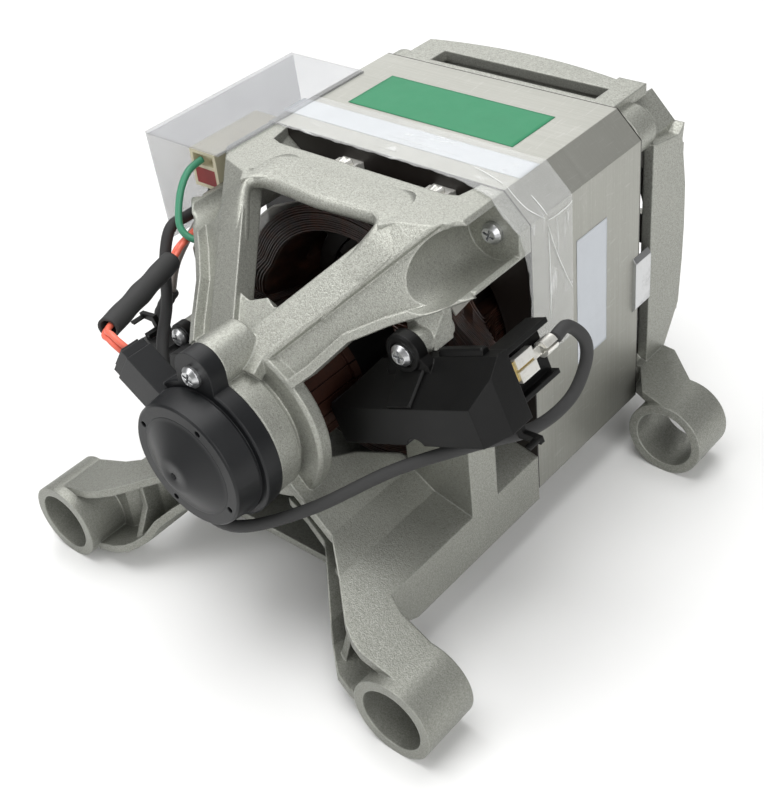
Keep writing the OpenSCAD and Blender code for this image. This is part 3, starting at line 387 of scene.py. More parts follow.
class Surface(NodeKit):
    """A material in the making: its shader, the place on it and its rounded edges."""

    def __init__(self, material: bpy.types.Material, radius: float) -> None:
        """Starts the material with a shader on its output.

        Args:
            material: The new material.
            radius: Radius in metres that sharp edges are rounded to; none where it is zero.
        """
        super().__init__(material.node_tree)
        self.tree.nodes.clear()
        self.shader = self.add("ShaderNodeBsdfPrincipled")
        self.place = self.add("ShaderNodeTexCoord").outputs["Object"]
        self.feed(self.add("ShaderNodeOutputMaterial").inputs["Surface"], self.shader.outputs["BSDF"])
        self.normal: Optional[Socket] = None
        self.edge: Optional[Socket] = None
        if radius > 0.0:
            soft = self.effect(Effect.SOFT_EDGE, Radius=radius)
            self.normal, self.edge = soft["Normal"], soft["Edge"]

    def effect(self, effect: Effect, **numbers: float) -> dict[str, Socket]:
        """Places an effect's group in the material.

        Args:
            effect: Which effect.
            **numbers: The effect's own values.

        Returns:
            The group's results by name.
        """
        node = self.fill(self.add("ShaderNodeGroup", node_tree=effect.group()), Place=self.place, **numbers)
        return {socket.name: socket for socket in node.outputs}

    def worn(self, share: float) -> Optional[Socket]:
        """Gives a share of the mask of sharp edges, or None where they aren't rounded."""
        return None if self.edge is None else self.scaled(self.edge, share)

    def layered(self, tone: str, *layers: tuple[Optional[Socket], str]) -> Value:
        """Lays tones over another, one after the other.

        Args:
            tone: The tone underneath.
            *layers: Mask and tone of each layer; a layer without a mask is left out.

        Returns:
            The colour on top.
        """
        colour: Value = linear(tone)
        for mask, above in layers:
            if mask is not None:
                colour = self.blend(mask, colour, linear(above))
        return colour


@dataclass(frozen=True)
class Finish:
    """A surface finish that becomes one material.

    Attributes:
        name: The material's name.
        tone: Main colour.
        shade: Colour of its darker or dirtier places.
        roughness: Middle roughness.
        metallic: How far it is a metal.
        grain: Grains to a metre in its fine texture.
        relief: Height of that texture in metres.
        smudge: How strong the smudges are.
        edge: Radius in metres that its sharp edges are rounded to; none where it is zero.
        spots: Smudges to a metre.
        patch: How strongly broad patches show.
        rub: How strongly rubbed edges show.
        swing: What its fine texture adds to the roughness, from its low to its high places.
        strength: Share of the relief that shows.
    """

    name: str
    tone: str
    shade: str
    roughness: float = 0.5
    metallic: float = 0.0
    grain: float = 1200.0
    relief: float = 0.00004
    smudge: float = 0.5
    edge: float = 0.0
    spots: float = 26.0
    patch: float = 0.35
    rub: float = 0.3
    swing: tuple[float, float] = (-0.06, 0.06)
    strength: float = 0.6

    def material(self) -> bpy.types.Material:
        """Gives the finish's material, which is built at its first use.

        Returns:
            The material.
        """
        found = bpy.data.materials.get(self.name)
        if found is None:
            found = bpy.data.materials.new(self.name)
            found.use_nodes = True
            surface = Surface(found, self.edge)
            surface.fill(surface.shader, Metallic=self.metallic)
            self.dress(surface)
        return found

    def smudges(self, on: Surface) -> Socket:
        """Places the smudges and gives their mask."""
        return on.effect(Effect.HANDLING, Amount=self.smudge, Scale=self.spots)["Mask"]

    def swung(self, on: Surface, texture: Socket, low: float = 0.0, high: float = 1.0) -> Socket:
        """Gives the roughness, swung by a texture between its low and its high places."""
        return on.spread(texture, low, high, (self.roughness + self.swing[0], self.roughness + self.swing[1]))

    def raised(self, on: Surface, texture: Socket) -> Socket:
        """Gives the normal, raised by a texture on top of the rounded edges."""
        return on.bump(texture, self.relief, self.strength, on.normal)

    def dress(self, on: Surface) -> None:
        """Wires the finish into the shader: grain, smudges and soft edges.

        Args:
            on: The material in the making.
        """
        grain = on.effect(Effect.CAST_GRAIN, Scale=self.grain)
        colour = on.layered(
            self.tone,
            (on.scaled(grain["Patch"], self.patch), self.shade),
            (self.smudges(on), self.shade),
            (on.worn(self.rub), self.tone),
        )
        on.fill(on.shader, Base_Color=colour, Roughness=self.swung(on, grain["Speckle"]),
                Normal=self.raised(on, grain["Speckle"]))


@dataclass(frozen=True)
class CastAluminium(Finish):
    """Die-cast aluminium with a sandy speckle, lighter on its edges.

    Attributes:
        bright: Colour of the speckle's light grains and of rubbed edges.
        pit: Colour of the pits between the grains.
        low_shade_tone: Colour of the painted shade low down.
        low_shade: How strong that painted shade is.
        light: How strongly the light grains show.
        dark: How strongly the pits show.
    """

    patch: float = 0.3
    swing: tuple[float, float] = (0.1, -0.1)
    strength: float = 0.7
    bright: str = "#CDCEC7"
    pit: str = "#6A6B64"
    low_shade_tone: str = "#5E5F58"
    low_shade: float = 0.55
    light: float = 0.45
    dark: float = 0.5

    def dress(self, on: Surface) -> None:
        """Wires speckle, patches, smudges, painted shade low down and rubbed edges into the shader.

        Args:
            on: The material in the making.
        """
        grain = on.effect(Effect.CAST_GRAIN, Scale=self.grain)
        speckle = grain["Speckle"]
        colour = on.layered(
            self.tone,
            (on.scaled(grain["Patch"], self.patch), self.shade),
            (on.spread(speckle, 0.5, 1.0, (0.0, self.light)), self.bright),
            (on.spread(speckle, 0.5, 0.0, (0.0, self.dark)), self.pit),
            (self.smudges(on), self.shade),
            # Painted shade: darker towards the bottom, where less light reaches.
            (on.effect(Effect.LOW_PAINTED_SHADE, Amount=self.low_shade)["Mask"], self.low_shade_tone),
            (on.worn(self.rub), self.bright),
        )
        on.fill(on.shader, Base_Color=colour, Roughness=self.swung(on, speckle),
                Normal=self.raised(on, speckle))


@dataclass(frozen=True)
class LaminatedSteel(Finish):
    """A stack of thin steel sheets: fine lines across the shaft, rolled streaks and scratches.

    Attributes:
        sheets: Sheets to a metre.
        streak: Streaks to a metre along each sheet.
        lined: How strongly the sheets' lines show.
        bright: Colour of the scratches and of rubbed edges.
        scratched: How strong the scratches are.
        low_shade_tone: Colour of the painted shade low down.
        low_shade: How strong that painted shade is.
        inside_shade_tone: Colour of the painted shade on the bore, the slots and the end faces.
    """

    patch: float = 0.4
    rub: float = 0.35
    swing: tuple[float, float] = (-0.08, 0.1)
    strength: float = 0.5
    sheets: float = 2000.0
    streak: float = 14.0
    lined: float = 1.0
    bright: str = "#D8D8D6"
    scratched: float = 0.16
    low_shade_tone: str = "#55564F"
    low_shade: float = 0.6
    inside_shade_tone: str = "#1A1512"

    def dress(self, on: Surface) -> None:
        """Wires sheet lines, streaks, scratches, painted shade low down and painted shade inside into the
        shader.

        Args:
            on: The material in the making.
        """
        lines = on.noise(on.stretched(on.place, (self.streak, self.sheets, self.streak)), 1.0, 1.0, 0.4)
        patch = on.effect(Effect.CAST_GRAIN, Scale=self.grain)["Patch"]
        inside = on.effect(Effect.INSIDE_SHADE)["Mask"]
        colour = on.layered(
            self.tone,
            (on.spread(lines, 0.32, 0.68, (0.0, self.lined)), self.shade),
            (on.scaled(patch, self.patch), self.shade),
            (self.smudges(on), self.shade),
            (on.effect(Effect.SCRATCHES, Amount=self.scratched)["Mask"], self.bright),
            (on.worn(self.rub), self.bright),
            # Painted shade: darker towards the bottom, where less light reaches.
            (on.effect(Effect.LOW_PAINTED_SHADE, Amount=self.low_shade)["Mask"], self.low_shade_tone),
            # Painted shade on the bore, the slots and the end faces.
            (inside, self.inside_shade_tone),
        )
        # Where the painted shade lies, the steel is also made not metallic.
        metallic_outside_shade = on.spread(inside, 0.0, 1.0, (self.metallic, 0.0))
        on.fill(on.shader, Base_Color=colour, Metallic=metallic_outside_shade, Roughness=self.swung(on, lines, 0.2, 0.8),
                Normal=self.raised(on, lines))


@dataclass(frozen=True)
class BrightMetal(Finish):
    """Plated, ground or turned metal with fine scratches and dulled patches.

    Attributes:
        scratched: How strong the scratches are.
        stained: How strongly the scratches darken it.
        dulled: What the smudges add to the roughness.
    """

    relief: float = 0.00001
    spots: float = 140.0
    strength: float = 0.3
    scratched: float = 0.5
    stained: float = 0.4
    dulled: float = 0.3

    def dress(self, on: Surface) -> None:
        """Wires scratches, dulled patches and soft edges into the shader.

        Args:
            on: The material in the making.
        """
        smudge = self.smudges(on)
        scratch = on.effect(Effect.SCRATCHES, Amount=self.scratched)["Mask"]
        colour = on.layered(self.tone, (smudge, self.shade), (on.scaled(scratch, self.stained), self.shade))
        rough = on.math("ADD", on.scaled(smudge, self.dulled), self.roughness)
        on.fill(on.shader, Base_Color=colour, Roughness=rough, Normal=self.raised(on, scratch))


@dataclass(frozen=True)
class MouldedPlastic(Finish):
    """Moulded plastic or rubber: a fine matt texture, dust on top and paler edges.

    Attributes:
        dust: How much dust lies on it.
        rubbed: Colour of its rubbed edges and of the dust.
        gloss: How strongly it reflects.
        paled: How strongly the dust's colour shows.
        dulled: What the dust adds to the roughness.
        polished: What the smudges take off the roughness.
    """

    grain: float = 1600.0
    relief: float = 0.00002
    smudge: float = 0.4
    spots: float = 60.0
    rub: float = 0.35
    strength: float = 0.5
    dust: float = 0.2
    rubbed: str = "#6A6A66"
    gloss: float = 0.35
    paled: float = 0.5
    dulled: float = 0.3
    polished: float = 0.15

    def dress(self, on: Surface) -> None:
        """Wires the moulded texture, dust and rubbed edges into the shader.

        Args:
            on: The material in the making.
        """
        smudge = self.smudges(on)
        dust = on.effect(Effect.DUST, Amount=self.dust)["Mask"]
        colour = on.layered(
            self.tone,
            (smudge, self.shade),
            (on.scaled(dust, self.paled), self.rubbed),
            (on.worn(self.rub), self.rubbed),
        )
        rough = on.math("ADD", on.scaled(dust, self.dulled), self.roughness)
        rough = on.math("SUBTRACT", rough, on.scaled(smudge, self.polished))
        speckle = on.effect(Effect.CAST_GRAIN, Scale=self.grain)["Speckle"]
        on.fill(on.shader, Base_Color=colour, Roughness=rough, Specular_IOR_Level=self.gloss,
                Normal=self.raised(on, speckle))


@dataclass(frozen=True)
class WireEnamel(Finish):
    """Enamelled winding wire: dark glossy coat over copper that shows through in patches.

    Attributes:
        copper: Colour where the coat is thin.
        bared: How strongly the copper shows there.
        clouds: Thin places to a metre.
        coat: How strongly the clear coat over the wire reflects.
        coat_roughness: How rough that varnish is.
    """

    relief: float = 0.00002
    smudge: float = 0.6
    spots: float = 90.0
    swing: tuple[float, float] = (0.0, 0.15)
    strength: float = 0.3
    copper: str = "#6E3A22"
    bared: float = 0.55
    clouds: float = 210.0
    coat: float = 0.6
    coat_roughness: float = 0.2

    def dress(self, on: Surface) -> None:
        """Wires the coat's clouds and the copper under it into the shader.

        Args:
            on: The material in the making.
        """
        thin = on.spread(on.noise(on.place, self.clouds, 4.0, 0.6), 0.42, 0.72)
        bared = on.scaled(thin, self.bared)
        colour = on.layered(self.tone, (bared, self.copper), (self.smudges(on), self.shade))
        on.fill(on.shader, Base_Color=colour, Roughness=self.swung(on, thin), Coat_Weight=self.coat,
                Coat_Roughness=self.coat_roughness, Normal=self.raised(on, thin))


@dataclass(frozen=True)
class ClearSheet(Finish):
    """Clear plastic sheet or tape with haze, smudges and faint creases.

    Attributes:
        cover: How much of what is behind it stays hidden.
        crease: Creases to a metre.
        lines: How white the thin lines along its creases are, painted highlights of the creases.
        hazed: How much more its clouds hide, as a share of the cover.
        dulled: What the smudges add to the roughness.
        drawn: How far the lines are drawn out along x, y and z.
        finer: Lines to a crease.
        line_half: Half of a line's width, as a share of the noise's range.
    """

    spots: float = 40.0
    cover: float = 0.35
    crease: float = 60.0
    lines: float = 0.0
    hazed: float = 0.3
    dulled: float = 0.25
    drawn: tuple[float, float, float] = (0.10, 1.0, 0.14)
    finer: float = 4.0
    line_half: float = 0.03

    def dress(self, on: Surface) -> None:
        """Wires haze, smudges, creases and painted highlight lines along the creases into the shader.

        Args:
            on: The material in the making.
        """
        smudge = self.smudges(on)
        crease = on.noise(on.place, self.crease, 4.0, 0.6)
        haze = on.scaled(on.spread(crease, 0.3, 0.7), self.hazed * self.cover)
        fold = on.noise(on.stretched(on.place, self.drawn), self.finer * self.crease, 1.0, 0.4)
        off = on.math("ABSOLUTE", on.math("SUBTRACT", fold, 0.5))
        # Painted highlights: thin whitish lines along the creases, drawn as extra cover.
        line = on.spread(off, 0.0, self.line_half, (self.lines, 0.0))
        line = on.math("MULTIPLY", line, on.spread(crease, 0.50, 0.70))
        on.fill(on.shader, Base_Color=on.layered(self.tone, (smudge, self.shade)),
                Roughness=on.math("ADD", on.scaled(smudge, self.dulled), self.roughness),
                Alpha=on.math("ADD", on.math("ADD", haze, line), self.cover, True),
                Normal=self.raised(on, crease))


class Palette:
    """The finishes of this motor."""

    SHIELD = CastAluminium("cast_shield", "#A4A59D", "#94958D", 0.42, 0.60, 2400.0, 0.00008, 0.18, 0.0009)
    STACK = LaminatedSteel("stack_steel", "#A8A8A1", "#97978F", 0.40, 0.65, 900.0, 0.00001, 0.22, 0.0004,
                           lined=0.10)
    # The rotor's steel is toned dark as painted shade of the motor's inside; its whole body also lies within
    # the painted inside shade.
    ROTOR = LaminatedSteel("rotor_steel", "#3C3A37", "#252320", 0.45, 0.50, 900.0, 0.00002, 0.50, 0.0003)
    COIL = WireEnamel("field_wire", "#22120C", "#0E0806", 0.42, 0.10, copper="#55301D", coat=0.2)
    ROTOR_WIRE = WireEnamel("rotor_wire", "#3A2014", "#160D09", 0.32, 0.30)
    # The lines of the film and the tape are painted highlights along their creases.
    FILM = ClearSheet("coil_film", "#CFCDC6", "#8E8B84", 0.22, relief=0.0004, cover=0.62, crease=90.0,
                      lines=0.2)
    GUARD = ClearSheet("clear_guard", "#9A9CA0", "#8A8C90", 0.08, relief=0.0003, smudge=0.3, cover=0.31,
                       crease=25.0)
    # Near-white, fairly opaque ridges: painted highlights along the tape's creases.
    CREASE_GLINT = ClearSheet("tape_crease_glint", "#F4F5F4", "#E2E3E1", 0.15, relief=0.0001, smudge=0.2, cover=0.62,
                        crease=200.0)
    TAPE = ClearSheet("clear_tape", "#F2F3F2", "#D8D9D6", 0.12, relief=0.0012, smudge=0.4, cover=0.14,
                      crease=55.0, lines=0.4)
    TIN = BrightMetal("tinned_terminal", "#E6E5DF", "#B4B2A8", 0.30, 0.60, smudge=0.4, edge=0.0002)
    ZINC = BrightMetal("zinc_plate", "#C9CACB", "#8A8B8C", 0.28, 0.95, edge=0.0003)
    GROUND = BrightMetal("ground_steel", "#BFC0C2", "#85868A", 0.24, 0.95, smudge=0.4, edge=0.0003)
    BRASS = BrightMetal("brass", "#C8A55A", "#8A6A34", 0.30, 0.95, edge=0.0002)
    # Copper darkened partly as real tarnish and partly as painted shade of the motor's inside.
    COPPER = BrightMetal("tarnished_shaded_copper", "#3A2118", "#1C120D", 0.42, 0.55, relief=0.00002, smudge=0.8,
                         edge=0.0002)
    CAP = MouldedPlastic("charcoal_cap", "#131416", "#0D0D0E", 0.42, grain=2600.0, edge=0.0005, dust=0.10,
                         rubbed="#3A3B3C")
    HOLDER = MouldedPlastic("black_holder", "#070707", "#050505", 0.42, grain=2200.0, smudge=0.5, edge=0.0005,
                            dust=0.08, rubbed="#242320", gloss=0.22)
    RUBBER = MouldedPlastic("black_rubber", "#0B0B0B", "#070707", 0.42, grain=1800.0, dust=0.08,
                            rubbed="#30302E")
    CREAM = MouldedPlastic("cream_block", "#D9D2B6", "#B4AB8C", 0.45, grain=2000.0, edge=0.0004,
                           rubbed="#E8E4D4")
    RED_BLOCK = MouldedPlastic("red_insert", "#8E1F1C", "#5E1412", 0.40, grain=2000.0, edge=0.0003,
                               rubbed="#B4514C")
    BROWN = MouldedPlastic("brown_cover", "#3A332E", "#241F1B", 0.42, dust=0.25, rubbed="#6A625A")
    RED = MouldedPlastic("red_cover", "#D63A2A", "#A3261B", 0.38, rubbed="#E88A7E")
    GREEN = MouldedPlastic("green_cover", "#1E5A38", "#123A24", 0.40, rubbed="#6E9A80")
    BLUE = MouldedPlastic("blue_cover", "#2E6FC0", "#1D4A86", 0.40, rubbed="#8AB0DE")
    MAGNET = MouldedPlastic("ring_magnet", "#2E2E30", "#1C1C1E", 0.55, 0.2, 1800.0, 0.00003, 0.5, 0.0004,
                            rubbed="#5A5A5C")
    CARBON = MouldedPlastic("brush_carbon", "#262628", "#151516", 0.55, 0.3, 2600.0, 0.00005, 0.5, 0.0004,
                            rubbed="#4C4C4E")
    GREEN_LABEL = MouldedPlastic("green_label", "#3F8461", "#387857", 0.55, 0.0, 900.0, 0.00001, 0.35,
                                 dust=0.15, rubbed="#7FB39A", gloss=0.12)
    WHITE_LABEL = MouldedPlastic("white_label", "#BFC3C8", "#AEB2B6", 0.50, 0.0, 900.0, 0.00001, 0.30,
                                 dust=0.10, rubbed="#DFE1E2", gloss=0.15)
    FLOOR = Finish("pale_floor", "#F0F0EF", "#ECECEB", 0.7, 0.0, 400.0, 0.00001, 0.1)


FINISHED_NODES: dict[Finish, str] = {
    Palette.SHIELD: "front_shield rear_shield",
    Palette.STACK: "stator_core",
    Palette.ROTOR: "rotor_core",
    Palette.COIL: "field_coil_top field_coil_bottom",
    Palette.ROTOR_WIRE: "tacho_coil rotor_winding",
    Palette.FILM: "coil_insulation",
    Palette.GUARD: "splash_guard",
    Palette.TIN: "coil_terminals faston_right",
    Palette.ZINC: "shield_bolts tacho_screw holder_screws stator_clips spring_right spring_left",
    Palette.GROUND: "front_bearing_outer rear_bearing_outer front_bearing_inner rear_bearing_inner"
                    " rotor_shaft drive_pulley",
    Palette.BRASS: "brush_guide_right brush_guide_left brush_terminal_right brush_terminal_left",
    Palette.COPPER: "commutator",
    Palette.CAP: "tacho_cover tacho_plug",
    Palette.HOLDER: "brush_holder_right brush_holder_left commutator_hub cooling_fan",
    Palette.RUBBER: "brush_boot_left brush_lead_right lead_sleeve",
    Palette.CREAM: "terminal_block",
    Palette.RED_BLOCK: "terminal_insert",
    Palette.BROWN: "brush_lead_left",
    Palette.RED: "tacho_lead_a tacho_lead_b",
    Palette.GREEN: "earth_lead",
    Palette.BLUE: "coil_lead",
    Palette.MAGNET: "tacho_magnet",
    Palette.CARBON: "brush_right brush_left",
}
NODE_FINISHES = {name: finish for finish, names in FINISHED_NODES.items() for name in names.split()}


class Shell:
    """Grids of points that become one mesh object in the part's frame."""

    def __init__(self) -> None:
        """Starts with no points and no faces."""
        self.points: list[Array] = []
        self.faces: list[list[int]] = []
        self.count = 0

    def add(self, grid: Array, wrap_u: bool = False) -> "Shell":
        """Adds a closed grid of points, whose last column joins the first, and its four-sided faces.

        The faces are turned outwards by the sign of the volume that they hold, which is a
        sixth of the sum of each triangle's triple product.

        Args:
            grid: Points as rows along u and columns along v, in millimetres about the shaft.
            wrap_u: Whether the last row joins the first; if not, each is closed by a flat face.

        Returns:
            The shell itself.
        """
        index = np.arange(grid.shape[0] * grid.shape[1]).reshape(grid.shape[:2])
        a, b = (index, np.roll(index, -1, 0)) if wrap_u else (index[:-1], index[1:])
        quads = np.stack((a, np.roll(a, -1, 1), np.roll(b, -1, 1), b), -1).reshape(-1, 4)
        flat = grid.reshape(-1, 3)
        faces = quads.tolist()
        if not wrap_u:
            faces += [index[0, ::-1].tolist(), index[-1].tolist()]
        corner = (flat - flat.mean(0))[quads]
        held = np.einsum("ij,ij->i", corner[:, 0], np.cross(corner[:, 1], corner[:, 2]))
        held = held + np.einsum("ij,ij->i", corner[:, 0], np.cross(corner[:, 2], corner[:, 3]))
        if held.sum() < 0.0:
            faces = [face[::-1] for face in faces]
        self.faces += [[i + self.count for i in face] for face in faces]
        self.points.append(flat)
        self.count += len(flat)
        return self

    def piece(self, name: str, finish: Finish, slot: Optional[str], body: str,
              replaced: Sequence[str] = (), smooth: bool = True) -> bpy.types.Object:
        """Makes the mesh object, dresses it and lets it ride on a body.

        Args:
            name: The piece's name.
            finish: Its finish.
            slot: The record's material slot, if it has one; not used.
            body: The body that it moves with.
            replaced: The frame's nodes that it stands for.
            smooth: Whether its faces are shaded as one curved surface.

        Returns:
            The new object.
        """
        mesh = bpy.data.meshes.new(name)
        mesh.from_pydata(placed(np.vstack(self.points)).tolist(), [], self.faces)
        mesh.polygons.foreach_set("use_smooth", np.full(len(mesh.polygons), smooth))
        mesh.update()
        piece = bpy.data.objects.new(name, mesh)
        bpy.context.scene.collection.objects.link(piece)
        mesh.materials.append(finish.material())
        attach(piece, body)
        if replaced:
            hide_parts(*replaced)
        LOG.info("%s: %d faces on %s", name, len(mesh.polygons), body)
        return piece


def smooth_route(route: Sequence[Point], steps: int) -> Array:
    """Carries a Catmull-Rom curve through route points.

    Between two points the curve is the cubic whose slope at each point is half the way
    from the point before it to the point after it.

    Args:
        route: The points that it passes through.
        steps: Parts that each stretch is cut into.

    Returns:
        The points along the curve.
    """
    p = np.asarray(route, float)
    ends = np.vstack((p[:1], p, p[-1:]))
    a, b, c, d = ends[:-3, None], ends[1:-2, None], ends[2:-1, None], ends[3:, None]
    t = (np.arange(steps) / steps)[None, :, None]
    square, cube = 2 * a - 5 * b + 4 * c - d, 3 * b - a - 3 * c + d
    curve = 0.5 * (2 * b + (c - a) * t + square * t ** 2 + cube * t ** 3)
    return np.vstack((curve.reshape(-1, 3), p[-1:]))


def smooth_step(value: Array, start: float, end: float) -> Array:
    """Rises smoothly from 0 at the start to 1 at the end, as 3 t squared less 2 t cubed.

    Args:
        value: Where it is taken.
        start: Where it is 0; past the end for a step that falls.
        end: Where it is 1.

    Returns:
        The step's height at each value.
    """
    t = np.clip((value - start) / (end - start), 0.0, 1.0)
    return t * t * (3.0 - 2.0 * t)


def revolved(outline: Sequence[Sequence[float]], sides: int) -> Array:
    """Turns an outline of radius and y about the shaft, a row for each of its points.

    Args:
        outline: Radius and y of each point.
        sides: Points round each ring.

    Returns:
        A grid of rings.
    """
    angle = np.linspace(0.0, 2 * math.pi, sides, endpoint=False)[None]
    r, y = (np.array(part)[:, None] for part in zip(*outline))
    return np.stack((r * np.cos(angle), np.broadcast_to(y, (len(outline), sides)), r * np.sin(angle)), -1)


def unit(v: Array) -> Array:
    """Gives vectors the length one."""
    return v / np.linalg.norm(v, axis=-1, keepdims=True)


def tube(path: Array, radius: Union[float, Array], sides: int, side: Optional[Array] = None) -> Array:
    """Carries a circle along a path.

    Each ring is the path's point plus the radius times the cosine of the angle along one
    side vector and the sine along the other. Where no side vectors are given, each is the
    one before it made square to the path again.

    Args:
        path: Points along the middle.
        radius: One radius, or one for each point.
        sides: Points round each ring.
        side: Vectors across the path, one for each point.

    Returns:
        A grid of rings.
    """
    along = unit(np.gradient(path, axis=0))
    if side is None:
        rows = [np.cross(along[0], (0.0, 0.0, 1.0) if abs(along[0, 2]) < 0.8 else (1.0, 0.0, 0.0))]
        for direction in along[1:]:
            rows.append(rows[-1] - (rows[-1] @ direction) * direction)
        side = np.array(rows)
    else:
        side = side - np.einsum("ij,ij->i", side, along)[:, None] * along
    side = unit(side)
    other = np.cross(along, side)
    angle = np.linspace(0.0, 2 * math.pi, sides, endpoint=False)[None, :, None]
    reach = np.broadcast_to(np.asarray(radius, float), (len(path),))[:, None, None]
    return path[:, None] + reach * (np.cos(angle) * side[:, None] + np.sin(angle) * other[:, None])


@dataclass
class FieldCoils:
    """The two field coils: one long wire each, wound over a saddle-shaped bundle.

    Sizes are in millimetres and angles in degrees. They follow the frame's coils, apart from
    the front corners, which are fuller. The packing is the share of the bulge that the
    deepest wire gives up, and the wire starts to ease over at a share of each turn. A room is
    what the turns leave free at the foot and the top of the outer edge, or on the face.
    """

    outer_r: float = 46.4
    depth: float = 9.3
    width: float = 15.0
    half_angle: float = 88.0
    corner: float = 3.5
    front: float = -21.6
    rear: float = 82.1
    flare_run: float = 13.0
    front_flare: float = 0.32
    rear_flare: float = 0.15
    bulge: float = 8.0
    bulge_y: tuple[float, float] = (-2.0, -14.0)
    bulge_angle: tuple[float, float] = (62.0, 80.0)
    wire_r: float = 0.42
    pitch: float = 0.86
    steps: int = 10
    runs: tuple[int, int] = (36, 10)
    least_corner: float = 2.0
    packing: float = 0.6
    inner_edge: float = 5.0
    edge_room: tuple[float, float] = (0.6, 0.3)
    face_room: float = 0.4
    chamfer: float = 0.5
    unevenness: float = 0.09
    sway: float = 0.07
    ease_from: float = 0.86
    seed: int = 7

    def reach(self) -> tuple[float, float]:
        """Gives the corner centres' distance from the loop's middle, across and along."""
        across = math.radians(self.half_angle) * self.outer_r - self.corner
        return across, (self.rear - self.front) / 2 - self.corner

    def loop(self) -> tuple[Array, Array]:
        """Gives one turn of the saddle as corner centres and directions away from them.

        Returns:
            Arrays of the corner centre (arc length, y) and of the unit direction, one row
            for each point round the loop. A point is the centre plus the direction times
            the corner's radius there.
        """
        across, along = self.reach()
        quarter = np.linspace(0.0, math.pi / 2, self.steps)
        centres, ways = [], []
        corners = ((across, along, 0.0), (-across, along, math.pi / 2),
                   (-across, -along, math.pi), (across, -along, 1.5 * math.pi))
        for i, (x, y, start) in enumerate(corners):
            after = corners[(i + 1) % 4]
            run = np.linspace(0.0, 1.0, self.runs[i % 2], endpoint=False)[1:]
            turn = np.stack((np.cos(start + quarter), np.sin(start + quarter)), -1)
            straight = (1 - run)[:, None] * (x, y) + run[:, None] * after[:2]
            centres += [np.tile((x, y), (self.steps, 1)), straight]
            ways += [turn, np.tile(turn[-1], (len(run), 1))]
        return np.vstack(centres), np.vstack(ways)

    def saddle(self, centre: Array, way: Array, deep: Array, inset: Array) -> Array:
        """Lays points of the flat loop on the saddle round the shaft.

        The loop's corner radius shrinks by the inset, the arc length becomes an angle about
        the shaft, and the radius is the outer radius less the depth, plus a lean outwards
        that grows with the distance beyond the stack, plus a bulge at the two front corners.
        The bulge is the product of two smooth steps, one along the shaft and one in the angle
        from the pole, and the wire under the face keeps most of its depth there.

        Args:
            centre: Corner centres from loop.
            way: Directions from loop.
            deep: Depth under the outer face.
            inset: Distance in from the outer edge.

        Returns:
            The points about the shaft.
        """
        radius = np.maximum(self.corner - inset, self.least_corner)
        spare = np.maximum(inset - self.corner + self.least_corner, 0.0)
        flat = centre * (1.0 - spare[..., None] / np.array(self.reach())) + way * radius[..., None]
        y = (self.front + self.rear) / 2 + flat[..., 1]
        turn = flat[..., 0] / self.outer_r
        lean = self.front_flare * np.maximum(0.0, self.front + self.flare_run - y)
        lean = lean + self.rear_flare * np.maximum(0.0, y - self.rear + self.flare_run)
        swell = smooth_step(y, *self.bulge_y) * smooth_step(np.abs(turn), *np.radians(self.bulge_angle))
        r = self.outer_r - deep + lean + self.bulge * swell * (1.0 - self.packing * deep / self.depth)
        angle = math.pi / 2 + turn
        return np.stack((r * np.cos(angle), y, r * np.sin(angle)), -1)

    def wire(self) -> Array:
        """Gives the middle line of the wire, turn after turn.

        The turns climb the outer edge, cross the face and go down the inner edge. Over the
        last part of each turn the wire eases over to the place of the next one, and slow
        waves of a seeded size make it lie a little unevenly.

        Returns:
            The points along the wire.
        """
        rng = np.random.default_rng(self.seed)
        edge = np.arange(self.depth - self.edge_room[0], self.edge_room[1], -self.pitch)
        face = np.arange(0.0, self.width - self.face_room, self.pitch)
        inner = np.arange(self.pitch, self.inner_edge, self.pitch)
        deep = np.concatenate((edge, np.zeros(len(face)), inner))
        inset = np.concatenate((np.zeros(len(edge)), face, np.full(len(inner), face[-1])))
        deep = deep + rng.normal(0.0, self.unevenness, len(deep))
        inset = inset + rng.normal(0.0, self.unevenness, len(inset))
        centre, way = self.loop()
        count = len(centre)
        t = np.linspace(0.0, 1.0, count, endpoint=False)
        ease = smooth_step(t, self.ease_from, 1.0)
        turns = len(deep) - 1
        wave = rng.normal(0.0, self.sway, (turns, 1)) * np.sin(2 * math.pi * (2 * t + rng.random((turns, 1))))
        lay = [(row[:-1, None] + ease * np.diff(row)[:, None]).ravel() for row in (deep, inset)]
        centre, way = (np.tile(part, (turns, 1)) for part in (centre, way))
        return self.saddle(centre, way, lay[0] + wave.ravel(), np.maximum(lay[1], 0.0))

    def bundle(self) -> Array:
        """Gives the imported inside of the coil: a rounded box section carried round the loop.

        Returns:
            A grid closed both ways.
        """
        cut, low = self.chamfer, self.depth
        deep = np.array((2 * cut, cut, cut, 2 * cut, low - cut, low, low, low - cut))
        inset = np.array((cut, 2 * cut, self.width - 2 * cut, self.width - cut))
        inset = np.concatenate((inset, inset[::-1]))
        centre, way = self.loop()
        deep, inset = (np.broadcast_to(part, (len(centre), len(deep))) for part in (deep, inset))
        return self.saddle(centre[:, None], way[:, None], deep, inset)

    def build(self) -> None:
        """Builds both coils and lets them stand for the frame's coils."""
        wire = self.wire()
        rings = tube(wire, self.wire_r, 7, wire * (1.0, 0.0, 1.0))
        inside = self.bundle()
        for name, way in (("field_coil_top", np.ones(3)), ("field_coil_bottom", HALF_TURN)):
            shell = Shell().add(rings * way).add(inside * way, wrap_u=True)
            shell.piece(f"wound_{name}", Palette.COIL, "enamelled_wire", "frame", (name,))


